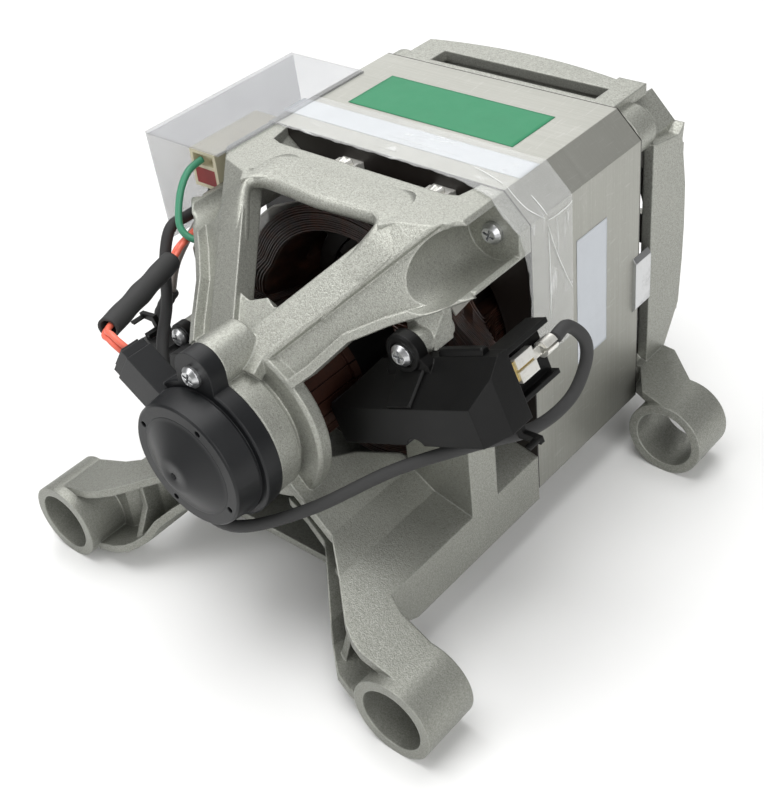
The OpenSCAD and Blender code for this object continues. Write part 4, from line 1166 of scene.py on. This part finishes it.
@dataclass
class RotorWinding:
    """The rotor's wire: bars in the slots and lacy end turns over a round heap.

    Sizes are in millimetres; a heap is radius and y of its outline, and the sweep is the
    angle in degrees that an end turn runs round.
    """

    slots: int = 12
    strands: int = 40
    wire_r: float = 0.62
    bar_in: float = 18.0
    bar_out: float = 27.8
    bar_half: float = 1.4
    overhang: float = 0.5
    sweep: float = 70.0
    front_heap: Outline = (
        (14.2, -0.5), (14.2, -14.6), (17.6, -17.4), (23.2, -14.8), (26.0, -5.6), (26.0, -0.5))
    rear_heap: Outline = (
        (14.2, 66.0), (14.2, 76.2), (17.6, 78.8), (23.2, 77.0), (26.0, 70.0), (26.0, 66.0))

    def strand(self, outline: Array, start: float, way: float) -> Array:
        """Carries a wire from the heap's outside over its crest to its inside while it turns.

        Args:
            outline: The heap's outline.
            start: Angle where it leaves its slot, in degrees.
            way: One or minus one for the way that it turns.

        Returns:
            A grid of rings.
        """
        line = smooth_route([(r, y, 0.0) for r, y in outline[::-1]], 7)
        angle = np.radians(start + way * self.sweep * np.linspace(0.0, 1.0, len(line)))
        path = np.stack((line[:, 0] * np.cos(angle), line[:, 1], line[:, 0] * np.sin(angle)), -1)
        return tube(path, self.wire_r, 6)

    def bars(self) -> list[Array]:
        """Gives the wire that fills each slot, as a box section along the stack.

        Returns:
            A grid of three sections for each slot.
        """
        y = np.linspace(-self.overhang, STACK_LENGTH + self.overhang, 3)
        corner = np.array(((self.bar_in, -1), (self.bar_out, -1), (self.bar_out, 1), (self.bar_in, 1)))
        grids = []
        for angle in np.radians(np.arange(self.slots) * 360.0 / self.slots):
            x = corner[:, 0] * math.cos(angle) - corner[:, 1] * self.bar_half * math.sin(angle)
            z = corner[:, 0] * math.sin(angle) + corner[:, 1] * self.bar_half * math.cos(angle)
            grids.append(np.stack((np.tile(x, (3, 1)), np.tile(y[:, None], (1, 4)), np.tile(z, (3, 1))), -1))
        return grids

    def build(self) -> None:
        """Builds the winding and lets it stand for the frame's plain one."""
        shell = Shell()
        for heap, way in ((np.array(self.front_heap), 1.0), (np.array(self.rear_heap), -1.0)):
            shell.add(revolved(heap.tolist(), 72), wrap_u=True)
            for start in np.arange(self.strands) * 360.0 / self.strands:
                shell.add(self.strand(heap, start, way))
        for bar in self.bars():
            shell.add(bar)
        shell.piece("wound_rotor", Palette.ROTOR_WIRE, "enamelled_wire", "rotor", ("rotor_winding",))


@dataclass
class Lead:
    """One insulated lead between two places on the motor.

    Attributes:
        name: The frame's node that it stands for.
        route: Points in millimetres about the shaft.
        diameter: Outer diameter in millimetres.
        finish: Its cover's finish.
        slot: The record's material slot.
        sides: How far it is shifted at its first and last point.
    """

    name: str
    route: Sequence[Point]
    diameter: float
    finish: Finish
    slot: str
    sides: tuple[Point, Point] = ((0.0, 0.0, 0.0), (0.0, 0.0, 0.0))

    def path(self) -> Array:
        """Gives the lead's middle line, shifted sideways a little more or less along it.

        Returns:
            The points along the line.
        """
        line = smooth_route(self.route, 8)
        share = np.linspace(0.0, 1.0, len(line))[:, None]
        return line + (1 - share) * np.array(self.sides[0]) + share * np.array(self.sides[1])

    def build(self) -> None:
        path = self.path()
        lead = Shell().add(tube(path, self.diameter / 2, 14))
        piece = lead.piece(f"{self.name}_cover", self.finish, self.slot, "frame", (self.name,))


@dataclass
class Harness:
    """The leads, the sensor leads' sleeve and the boot on the left brush terminal.

    Sizes are in millimetres; a swell or a groove is a share of its radius.
    """

    thick: float = 4.2
    thin: float = 2.2
    sleeve_r: float = 3.8
    sleeve_wall: float = 0.9
    sleeve_ends: tuple[Point, Point] = ((-46.0, -89.0, 27.0), (-62.0, -47.0, 25.0))
    sleeve_swell: float = 0.05
    sleeve_waves: float = 3.0
    boot_r: float = 2.8
    boot_groove: float = 0.06
    boot_rings: float = 9.0
    blade: tuple[float, float] = (82.35, 30.03)
    sensor_sides: tuple[Point, Point] = ((0.6, 0.3, 1.15), (1.35, 0.0, 0.2))

    def sensor_route(self) -> list[Point]:
        """Gives the run of the two sensor leads, from the plug through the sleeve to the block."""
        return [(-34.4, -92, 24.1), (-40, -92.5, 27.5), (-46, -89, 27), (-54, -68, 26), (-62, -47, 25),
                (-63, -40, 28), (-65.5, -27, 29), (-66.5, -12, 33), (-66.5, -7, 40)]

    def leads(self) -> list[Lead]:
        """Gives the six leads.

        Returns:
            The leads, each with its route and its cover.
        """
        x, z = self.blade
        away = tuple(tuple(-v for v in side) for side in self.sensor_sides)
        right = [(x, -20, z), (x + 0.4, -14, z + 0.8), (85, -8, 23), (85, -8, 13), (84, -16, 4),
                 (81, -32, 2), (72, -50, 4), (51, -64, -6), (29, -82, -20), (9, -96, -27),
                 (-10, -95, -28), (-26, -88, -22), (-37, -78, -4), (-46, -70, 8), (-60, -54, 12),
                 (-69, -44, 22), (-71, -37, 31), (-70.5, -28, 32), (-70, -18, 33), (-70, -13, 40)]
        left = [(-84, -33, -2.5), (-79.5, -31, 11), (-73, -24, 25), (-74, -12, 28), (-72, 1, 40)]
        earth = [(-67, -20, 51.5), (-67.5, -27, 49.5), (-67, -33, 43), (-64, -38, 34), (-58, -37, 30),
                 (-55.5, -32, 33), (-55.5, -31, 37.5)]
        coil = [(-70, -5, 40), (-70, -6, 28), (-66, -7, 16), (-58, -7, 7), (-51, -7, 3.5), (-45.4, -7, 5.5)]
        return [
            Lead("brush_lead_right", right, self.thick, Palette.RUBBER, "black_rubber"),
            Lead("brush_lead_left", left, self.thin + 0.6, Palette.BROWN, "brown_cover"),
            Lead("tacho_lead_a", self.sensor_route(), self.thin, Palette.RED, "red_cover", self.sensor_sides),
            Lead("tacho_lead_b", self.sensor_route(), self.thin, Palette.RED, "red_cover", away),
            Lead("earth_lead", earth, self.thin + 0.4, Palette.GREEN, "green_cover"),
            Lead("coil_lead", coil, self.thin, Palette.BLUE, "blue_cover"),
        ]

    def sleeve(self) -> None:
        """Builds the sleeve: a soft tube, open at both ends, that swells and sags a little."""
        path = np.linspace(*self.sleeve_ends, 40)
        share = np.linspace(0.0, 1.0, len(path))
        wave = np.cos(2 * math.pi * self.sleeve_waves * share) * np.sin(math.pi * share)
        outer = tube(path, self.sleeve_r * (1.0 - self.sleeve_swell * wave), 24)
        inner = tube(path, self.sleeve_r - self.sleeve_wall, 24)
        wall = Shell().add(np.concatenate((outer, inner[::-1]), 0), wrap_u=True)
        wall.piece("soft_sleeve", Palette.RUBBER, "black_rubber", "frame", ("lead_sleeve",))

    def boot(self) -> None:
        """Builds the boot: a bent rubber tube with shallow rings and rolled ends."""
        route = [(-85, -36, -31), (-88.5, -36.5, -24), (-89.5, -37.5, -15), (-87, -35.5, -8),
                 (-84, -33, -2.5)]
        path = smooth_route(route, 14)
        share = np.linspace(0.0, 1.0, len(path))
        groove = 0.5 + 0.5 * np.cos(2 * math.pi * self.boot_rings * share)
        boot = Shell().add(tube(path, self.boot_r * (1.0 - self.boot_groove * groove), 20))
        boot.piece("ringed_boot", Palette.RUBBER, "black_rubber", "frame", ("brush_boot_left",))

    def build(self) -> None:
        """Builds every lead, the sleeve and the boot."""
        for lead in self.leads():
            lead.build()
        self.sleeve()
        self.boot()


@dataclass
class CoilTaps:
    """The crimped barrels on the two coil terminals and the wire end that each one grips.

    Sizes are in millimetres. A wire ends at the foot's height, less the fall for each
    millimetre that its terminal lies from the middle.
    """

    places: tuple[float, float] = (-12.0, 27.0)
    height: float = 56.5
    barrel_r: float = 2.3
    dent: float = 0.42
    dent_spread: float = 0.45
    run: tuple[float, ...] = (-9.6, -9.2, -7.8, -6.2, -4.6, -3.4, -3.0)
    flare: tuple[float, ...] = (1.16, 1.12, 1.0, 0.94, 1.0, 1.10, 1.14)
    wire_r: float = 0.8
    foot: float = 45.5
    fall: float = 0.22

    def barrel(self, x: float) -> Array:
        """Gives a crimped barrel: a round section, dented along its top, that flares at both ends.

        The section's radius is the barrel's less a bell curve of the angle from straight up.

        Args:
            x: The terminal's place across the motor.

        Returns:
            A grid of sections along the shaft.
        """
        angle = np.linspace(0.0, 2 * math.pi, 40, endpoint=False)
        off = np.angle(np.exp(1j * (angle - math.pi / 2)))
        round_r = self.barrel_r * (1.0 - self.dent * np.exp(-(off / self.dent_spread) ** 2))
        r = np.array(self.flare)[:, None] * round_r
        y = np.broadcast_to(np.array(self.run)[:, None], r.shape)
        return np.stack((x + r * np.cos(angle), y, self.height + r * np.sin(angle)), -1)

    def build(self) -> None:
        """Builds both barrels, and the wire ends that run down into the coil."""
        barrels, wires = Shell(), Shell()
        for x in self.places:
            barrels.add(self.barrel(x))
            foot = self.foot - abs(x) * self.fall
            run = [(x, -4.0, self.height - 0.4), (x, -9.0, self.height - 0.4),
                   (x + 0.8, -12.6, self.height - 2.2), (x + 2.4, -14.2, self.height - 6.0),
                   (x + 3.2, -14.4, foot)]
            wires.add(tube(smooth_route(run, 6), self.wire_r, 10))
        barrels.piece("terminal_barrels", Palette.TIN, "tinned_steel", "frame")
        wires.piece("coil_ends", Palette.ROTOR_WIRE, "enamelled_wire", "frame")


@dataclass
class WindowRim:
    """The cast lip of the front window: rounded corners and a rolled crossbar edge.

    Sizes are in millimetres. Each station of the right half is the lip's edge, its reach over
    the casting and its outward normal; the left half is its mirror image.
    """

    arm_in: Point = (9.5, -2.95, -5.22)
    arm_out: Point = (0.2033, -0.6474, 0.7351)
    arm_edge: Point = (-0.32, -76.98, 30.45)
    arm_slope: Point = (0.69, 1.0, 0.69)
    arm_rows: Outline = ((20.0, -1.0), (26.0, -0.25), (31.0, 0.1), (35.0, 0.55))
    bend: tuple[tuple[Point, Point, Point], ...] = (
        ((26.5, -38.0, 59.3), (10.6, 0.6, -4.2), (0.16, -0.50, 0.85)),
        ((27.0, -34.9, 61.4), (9.5, 8.0, -1.4), (0.08, -0.28, 0.95)),
        ((24.8, -32.4, 61.6), (5.0, 16.0, 0.0), (0.0, -0.08, 1.0)),
        ((20.0, -31.7, 61.45), (0.0, 20.0, 0.0), (0.0, 0.0, 1.0)),
        ((11.0, -32.3, 61.45), (0.0, 20.6, 0.0), (0.0, 0.0, 1.0)),
    )
    middle: tuple[Point, Point, Point] = ((0.0, -33.0, 61.45), (0.0, 21.3, 0.0), (0.0, 0.0, 1.0))
    edge_section: Outline = (
        (0.6, -4.5), (-0.1, -3.6), (-0.2, -2.3), (0.1, -1.2), (0.7, -0.5), (1.6, -0.1))
    face_section: Outline = (
        (0.0, 0.0), (0.3, 0.0), (0.6, -0.03), (0.8, -0.14), (1.0, -0.4), (0.9, -3.2))
    face_from: float = 2.8

    def stations(self) -> Array:
        """Gives edge, reach and normal of each station, from the left arm to the right one.

        Returns:
            An array of stations by the three vectors.
        """
        rows = []
        for along, lift in self.arm_rows:
            edge = np.array(self.arm_edge) + along * np.array(self.arm_slope) + lift * np.array(self.arm_out)
            rows.append((edge - min(lift, 0.0) * unit(np.array(self.arm_in)), self.arm_in, self.arm_out))
        half = np.array(rows + list(self.bend))
        return np.concatenate((half * (-1.0, 1.0, 1.0), np.array(self.middle)[None], half[::-1]))

    def build(self) -> None:
        """Carries the lip's section along a smooth curve through the stations.

        A point is the edge plus its distance along the reach and its height along the normal.
        The rolled edge keeps its size, and the flat face takes shares of what the reach has left.
        """
        edge, reach, normal = (smooth_route(part, 6)[:, None] for part in np.moveaxis(self.stations(), 1, 0))
        length = np.linalg.norm(reach, axis=-1, keepdims=True) - self.face_from
        rolled, flat = (np.array(part)[None] for part in (self.edge_section, self.face_section))
        near = np.broadcast_to(rolled[..., :1], (len(edge), rolled.shape[1], 1))
        width = np.concatenate((near, self.face_from + flat[..., :1] * length), 1)
        height = np.concatenate((rolled[..., 1:], flat[..., 1:]), 1)
        grid = edge + width * unit(reach) + height * unit(normal)
        Shell().add(grid).piece("window_rim", Palette.SHIELD, "cast_aluminium", "frame")


@dataclass
class CapCone:
    """The blunt cone on the sensor cap's front, with a dimple in its tip.

    Sizes are in millimetres; the face is the y of the cap's flat rim.
    """

    face: float = -103.8
    base_r: float = 17.2
    tip_r: float = 5.8
    rise: float = 5.6
    fillet: float = 0.9
    dimple_r: float = 1.1
    dimple_depth: float = 1.2
    tuck: float = 0.3

    def outline(self) -> list[tuple[float, float]]:
        """Gives the cone's outline from behind the rim to the bottom of its dimple.

        The side is straight, with a hollow fillet at its foot and a rounded shoulder at its
        tip, each a few points of a parabola between the two faces that it joins.

        Returns:
            Radius and y of each point.
        """
        bend = self.fillet * self.rise / (self.base_r - self.tip_r) / 4
        end, hole_r = self.face - self.rise, self.dimple_r
        t = np.linspace(-1.0, 1.0, 7)
        foot = [(self.base_r - self.fillet * s, self.face - bend * (s + 1.0) ** 2) for s in t]
        tip = [(self.tip_r - self.fillet * s, end + bend * (1.0 - s) ** 2) for s in t]
        hole = [(hole_r + self.tuck, end), (hole_r, end + self.tuck), (hole_r, end + self.dimple_depth)]
        return [(self.base_r + self.fillet, self.face + self.tuck)] + foot + tip + hole

    def build(self) -> None:
        """Builds the cone."""
        Shell().add(revolved(self.outline(), 96)).piece("cap_cone", Palette.CAP, "charcoal_plastic", "frame")


@dataclass
class HolderTrim:
    """Raised strap, rear ledge and lug collar moulded on each brush holder.

    Sizes are in millimetres in the holder's own axes: x out along the brush, y along the
    shaft and z square to both. The holders lie half a turn apart about the shaft. The
    ledge's ends are their length and their share of its height.
    """

    tilt: float = 22.0
    slope: Outline = ((-47.6, 5.57), (-51.5, 2.79), (-56.0, -0.43), (-60.7, -3.79))
    strap: tuple[float, float] = (49.6, 63.0)
    narrowing: float = 1.6
    height: float = 1.2
    chamfer: float = 0.5
    root: float = 0.4
    lug: tuple[float, float] = (56.5, 9.8)
    collar: Outline = ((4.5, -51.3), (4.5, -52.2), (6.0, -52.2), (6.7, -51.5), (6.9, -47.8), (5.4, -47.8))
    ledge: tuple[float, float] = (66.0, 84.0)
    ledge_foot: float = 5.7
    ledge_section: Outline = (
        (-46.8, 5.7), (-46.5, 7.6), (-46.0, 8.1), (-44.2, 8.1), (-43.7, 7.6), (-43.5, 5.7))
    ledge_ends: tuple[float, float] = (0.6, 0.75)

    def strap_grid(self) -> Array:
        """Carries a chamfered band section down the holder's slope, a little narrower below.

        Returns:
            A grid with one section for each point of the slope.
        """
        line = np.array(self.slope)
        down = unit(line[-1] - line[0])
        out = np.array((down[1], -down[0]))
        rise = np.array((-self.root, self.height - self.chamfer, self.height))
        rise = np.concatenate((rise, rise[::-1]))
        share = np.linspace(0.0, 1.0, len(line))[:, None] * self.narrowing
        left, right = self.strap[0] + share, self.strap[1] - share
        inset = np.array((0.0, 0.0, self.chamfer, -self.chamfer, 0.0, 0.0))
        x = np.where(np.arange(len(rise)) < len(rise) // 2, left, right) + inset
        yz = line[:, None] + rise[None, :, None] * out
        return np.concatenate((x[..., None], yz), -1)

    def ledge_grid(self) -> Array:
        """Carries a low wall's chamfered section along the holder's rear top edge.

        Returns:
            A grid of four sections, the first and the last of them a little lower.
        """
        y, high = np.array(self.ledge_section).T
        (start, end), (run, share) = self.ledge, self.ledge_ends
        x = np.array((start, start + run, end - run, end))[:, None]
        z = self.ledge_foot + (high - self.ledge_foot) * np.array((share, 1.0, 1.0, share))[:, None]
        return np.stack((np.broadcast_to(x, z.shape), np.broadcast_to(y, z.shape), z), -1)

    def collar_grid(self) -> Array:
        """Turns the collar's outline about the upper lug's screw."""
        return revolved(self.collar, 48) + np.array((self.lug[0], 0.0, self.lug[1]))

    def on_right(self, grid: Array) -> Array:
        """Turns a grid from the right holder's axes to the shaft's by the brush's tilt.

        Args:
            grid: Points in the holder's axes.

        Returns:
            The points about the shaft.
        """
        c, s = math.cos(math.radians(self.tilt)), math.sin(math.radians(self.tilt))
        x, y, z = np.moveaxis(grid, -1, 0)
        return np.stack((c * x - s * z, y, s * x + c * z), -1)

    def build(self) -> None:
        """Builds the trim of both holders."""
        strap, ledge, collar_ring = (
            self.on_right(grid) for grid in (self.strap_grid(), self.ledge_grid(), self.collar_grid()))
        for side, way in (("right", np.ones(3)), ("left", HALF_TURN)):
            band = Shell().add(strap * way).add(ledge * way)
            band.piece(f"holder_strap_{side}", Palette.HOLDER, "black_plastic", "frame", smooth=False)
            collar = Shell().add(collar_ring * way, wrap_u=True)
            collar.piece(f"holder_collar_{side}", Palette.HOLDER, "black_plastic", "frame", smooth=False)


@dataclass
class Labels:
    """Bare labels stuck on the stack's top and right side.

    Sizes are in millimetres.
    """

    lift: float = 0.12
    bottom: float = 0.02
    ripple: float = 0.05
    waves: tuple[tuple[int, int], ...] = ((1, 1), (2, -1), (3, 2), (1, 3))
    phase: float = 6.3

    def patch(self, corner: Point, along: Point, across: Point, out: Point, seed: int) -> Array:
        """Gives a thin closed sheet that lies on a flat face with faint ripples.

        A point is the corner plus a share of each side, lifted off the face by a fixed gap
        and by a few long waves of seeded phase.

        Args:
            corner: First corner, in millimetres about the shaft.
            along: The first side.
            across: The second side.
            out: The direction away from the face.
            seed: Seed of the waves' phases.

        Returns:
            A grid that is closed round v: the top and the bottom of the sheet.
        """
        rng = np.random.default_rng(seed)
        u, v = np.meshgrid(np.linspace(0, 1, 40), np.linspace(0, 1, 24), indexing="ij")
        flat = np.array(corner) + u[..., None] * np.array(along) + v[..., None] * np.array(across)
        wave = sum(np.sin(2 * math.pi * (a * u + b * v) + rng.random() * self.phase) for a, b in self.waves)
        top = flat + (self.lift + self.ripple * (1.0 + wave / len(self.waves)))[..., None] * np.array(out)
        low = flat + self.bottom * np.array(out)
        return np.concatenate((top, low[:, ::-1]), 1)

    def build(self) -> None:
        """Builds the green label, the white strip and the side label."""
        green, white, top = Palette.GREEN_LABEL, Palette.WHITE_LABEL, HALF_HEIGHT
        sheets = (
            ("green_label", green, ((-35.5, 25.0, top), (71.5, 0, 0), (0, 24.7, 0), (0, 0, 1))),
            ("white_strip", white, ((-52.0, 8.7, top), (102.5, 0, 0), (0, 10.9, 0), (0, 0, 1))),
            ("side_label", white, ((HALF_WIDTH, 25.6, -17.0), (0, 0, 50.0), (0, 18.3, 0), (1, 0, 0))),
        )
        for seed, (name, finish, sides) in enumerate(sheets):
            Shell().add(self.patch(*sides, seed)).piece(name, finish, None, "frame")


@dataclass
class Tape:
    """Clear tape over the stack's front top edge, its right bevel and its right side.

    Sizes are in millimetres; the route is x and z of the faces that it sticks to. The front
    edge dips forward at the bevel, and each bend is rounded over a length to both sides. The
    long wave is its radians to a millimetre along the route, its swing and the swing's radians
    to a millimetre along the shaft. The short wave is its share and its radians both ways.
    """

    route: Outline = ((-50.0, 61.5), (50.4, 61.5), (60.0, 51.9), (60.0, -2.0))
    front: float = -1.5
    back: float = 23.0
    dip: float = 6.0
    dip_reach: float = 16.0
    bend: float = 4.0
    lift: float = 0.3
    thickness: float = 0.08
    wave: float = 0.16
    held: float = 0.15
    long_wave: tuple[float, float, float] = (0.55, 2.0, 0.21)
    short_wave: tuple[float, float, float] = (0.6, 1.3, 0.5)
    columns: int = 160
    rows: int = 36
    ridge_r: float = 0.15
    ridge_end: float = 0.04
    creases: tuple[tuple[Point, ...], ...] = (
        ((60.45, 9.2, 49.4), (60.45, 13.5, 48.9), (60.45, 20.4, 49.1), (60.45, 22.8, 49.9)),
        ((60.45, 9.1, 47.8), (60.45, 11.3, 41.0), (60.45, 14.2, 33.7), (60.45, 18.5, 24.6),
         (60.45, 22.6, 16.5)),
        ((60.45, 9.2, 45.3), (60.45, 9.6, 35.3), (60.45, 9.7, 23.4), (60.45, 9.3, 13.1)),
        ((50.6, 1.8, 62.0), (53.5, 1.9, 59.1), (56.9, 2.8, 55.7), (59.5, 4.9, 53.1), (60.5, 7.5, 50.9)),
        ((55.1, 7.9, 57.5), (58.1, 8.3, 54.5), (60.5, 8.8, 51.4)),
        ((33.8, 7.3, 61.9), (39.1, 6.0, 61.9), (48.3, 2.9, 61.9)),
    )

    def sheet(self) -> Array:
        """Gives the tape as a thin closed sheet.

        A point is the route's point at its arc length, moved out along the route's own
        normal, which is blended round the two bends, by a fixed lift and a few waves that
        grow towards the loose front edge. The front edge reaches over the shield's corner.

        Returns:
            A grid that is closed round v: the top and the bottom of the tape.
        """
        corner = np.array(self.route)
        leg = np.diff(corner, axis=0)
        at = np.concatenate(((0.0,), np.cumsum(np.linalg.norm(leg, axis=1))))
        s = np.linspace(0.0, at[-1], self.columns)
        line = np.stack((np.interp(s, at, corner[:, 0]), np.interp(s, at, corner[:, 1])), -1)
        face = unit(np.stack((-leg[:, 1], leg[:, 0]), -1))
        middle = (at[:-1] + at[1:]) / 2
        stops = np.concatenate([(a + self.bend, b - self.bend) for a, b in zip(at[:-1], at[1:])])
        out = unit(np.stack([np.interp(s, stops, np.repeat(face[:, k], 2)) for k in (0, 1)], -1))
        front = self.front - self.dip * np.exp(-((s - middle[1]) / self.dip_reach) ** 2)
        v = np.linspace(0.0, 1.0, self.rows)[None]
        y = front[:, None] + (self.back - front[:, None]) * v
        loose = self.held + (1.0 - self.held) * (1.0 - v) ** 3
        along, swing, across = self.long_wave
        wave = np.sin(s[:, None] * along + swing * np.sin(y * across))
        share, along, across = self.short_wave
        wave = wave + share * np.sin(s[:, None] * along - y * across)
        height = self.lift + self.wave * loose * (1.0 + share + wave)
        layers = []
        for rise in (height, height - self.thickness):
            x = line[:, None, 0] + out[:, None, 0] * rise
            z = line[:, None, 1] + out[:, None, 1] * rise
            layers.append(np.stack((x, y, z), -1))
        return np.concatenate((layers[0], layers[1][:, ::-1]), 1)

    def build(self) -> None:
        """Builds the tape, and the fine ridges along its creases that thin out at their ends, drawn
        near-white as painted highlights.
        """
        Shell().add(self.sheet()).piece("clear_tape", Palette.TAPE, None, "frame")
        ridges = Shell()
        for crease in self.creases:
            path = smooth_route(crease, 10)
            swell = np.sin(math.pi * np.linspace(0.0, 1.0, len(path))).clip(0.0)
            ridges.add(tube(path, self.ridge_end + self.ridge_r * np.sqrt(swell), 6))
        ridges.piece("tape_creases", Palette.CREASE_GLINT, None, "frame")


@dataclass
class Studio:
    """Camera at the photograph's angle, soft light and a plain pale floor.

    Lengths are in metres, apart from the lens and the film in millimetres, and angles are in
    degrees. A light is its name, its place, its side and its power in watts.
    """

    at: Point = (0.268089, -0.179315, 0.321361)
    azimuth: float = 44.35
    elevation: float = 37.32
    roll: float = -7.12
    lens: float = 58.96
    film: float = 36.0
    near: float = 0.01
    floor_half: float = 4.0
    floor_lines: int = 9
    sky: float = 0.22
    aim: Point = (0.0, 0.1, 0.06)
    fan: float = 150.0
    lights: tuple[tuple[str, Point, float, float], ...] = (
        ("overhead", (-0.2, 0.05, 1.35), 1.2, 13.0),
        ("back_glow", (-0.83, 0.96, 0.96), 1.1, 4.4),
        ("front_left", (-0.6, -1.2, 0.9), 0.8, 3.2),
        ("front_right", (1.30, -0.50, 0.75), 1.2, 10.0),
    )

    def camera(self) -> None:
        """Sets the camera from its place, two angles and the roll."""
        az, el, roll = (math.radians(v) for v in (self.azimuth, self.elevation, self.roll))
        back = Vector((math.sin(az) * math.cos(el), -math.cos(az) * math.cos(el), math.sin(el)))
        right = Vector((math.cos(az), math.sin(az), 0.0))
        up = back.cross(right)
        leaned = math.cos(roll) * right + math.sin(roll) * up
        risen = -math.sin(roll) * right + math.cos(roll) * up
        data = bpy.data.cameras.new("studio_camera")
        data.lens, data.sensor_width, data.sensor_fit = self.lens, self.film, "AUTO"
        data.clip_start = self.near
        camera = bpy.data.objects.new("studio_camera", data)
        turned = Matrix((leaned, risen, back)).transposed().to_4x4()
        camera.matrix_world = Matrix.Translation(self.at) @ turned
        bpy.context.scene.collection.objects.link(camera)
        bpy.context.scene.camera = camera

    def lamp(self, name: str, at: Point, size: float, power: float) -> None:
        """Adds a soft square light that faces the motor.

        Args:
            name: The light's name.
            at: Its place in metres.
            size: Its side in metres.
            power: Its power in watts.
        """
        data = bpy.data.lights.new(name, "AREA")
        data.size, data.energy, data.spread = size, power, math.radians(self.fan)
        light = bpy.data.objects.new(name, data)
        light.location = at
        light.rotation_euler = (Vector(self.aim) - Vector(at)).to_track_quat("-Z", "Y").to_euler()
        bpy.context.scene.collection.objects.link(light)

    def floor(self) -> None:
        """Adds a flat floor under the lowest point, with a faint mottle in its material."""
        u = np.linspace(-self.floor_half, self.floor_half, self.floor_lines)
        x, y = np.meshgrid(u, u, indexing="ij")
        points = np.stack((x, y, np.full_like(x, float(CAD_BOX[0][2]))), -1)
        index = np.arange(x.size).reshape(x.shape)
        quads = np.stack((index[:-1, :-1], index[1:, :-1], index[1:, 1:], index[:-1, 1:]), -1)
        mesh = bpy.data.meshes.new("floor")
        mesh.from_pydata(points.reshape(-1, 3).tolist(), [], quads.reshape(-1, 4).tolist())
        floor = bpy.data.objects.new("floor", mesh)
        bpy.context.scene.collection.objects.link(floor)
        mesh.materials.append(Palette.FLOOR.material())

    def build(self) -> None:
        """Sets the camera, the light, the floor and plain colour handling."""
        self.camera()
        for light in self.lights:
            self.lamp(*light)
        world = bpy.data.worlds.new("studio")
        world.use_nodes = True
        sky = world.node_tree.nodes["Background"]
        sky.inputs["Color"].default_value = (1.0, 1.0, 1.0, 1.0)
        sky.inputs["Strength"].default_value = self.sky
        bpy.context.scene.world = world
        bpy.context.scene.view_settings.view_transform = "Standard"
        self.floor()


def dress_frame() -> None:
    """Gives every node of the frame its finish."""
    for name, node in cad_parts.items():
        material = NODE_FINISHES[name].material()
        for slot in node.material_slots:
            slot.material = material
        LOG.info("%s: %s", name, material.name)


def main() -> None:
    """Builds the studio, the pieces and their finishes."""
    logging.basicConfig(level=logging.INFO, format="%(name)s: %(message)s")
    Studio().build()
    Harness().build()
    dress_frame()
    for assembly in (FieldCoils, RotorWinding, CoilTaps, WindowRim, CapCone, HolderTrim, Labels, Tape):
        assembly().build()


if __name__ == "__main__":
    main()
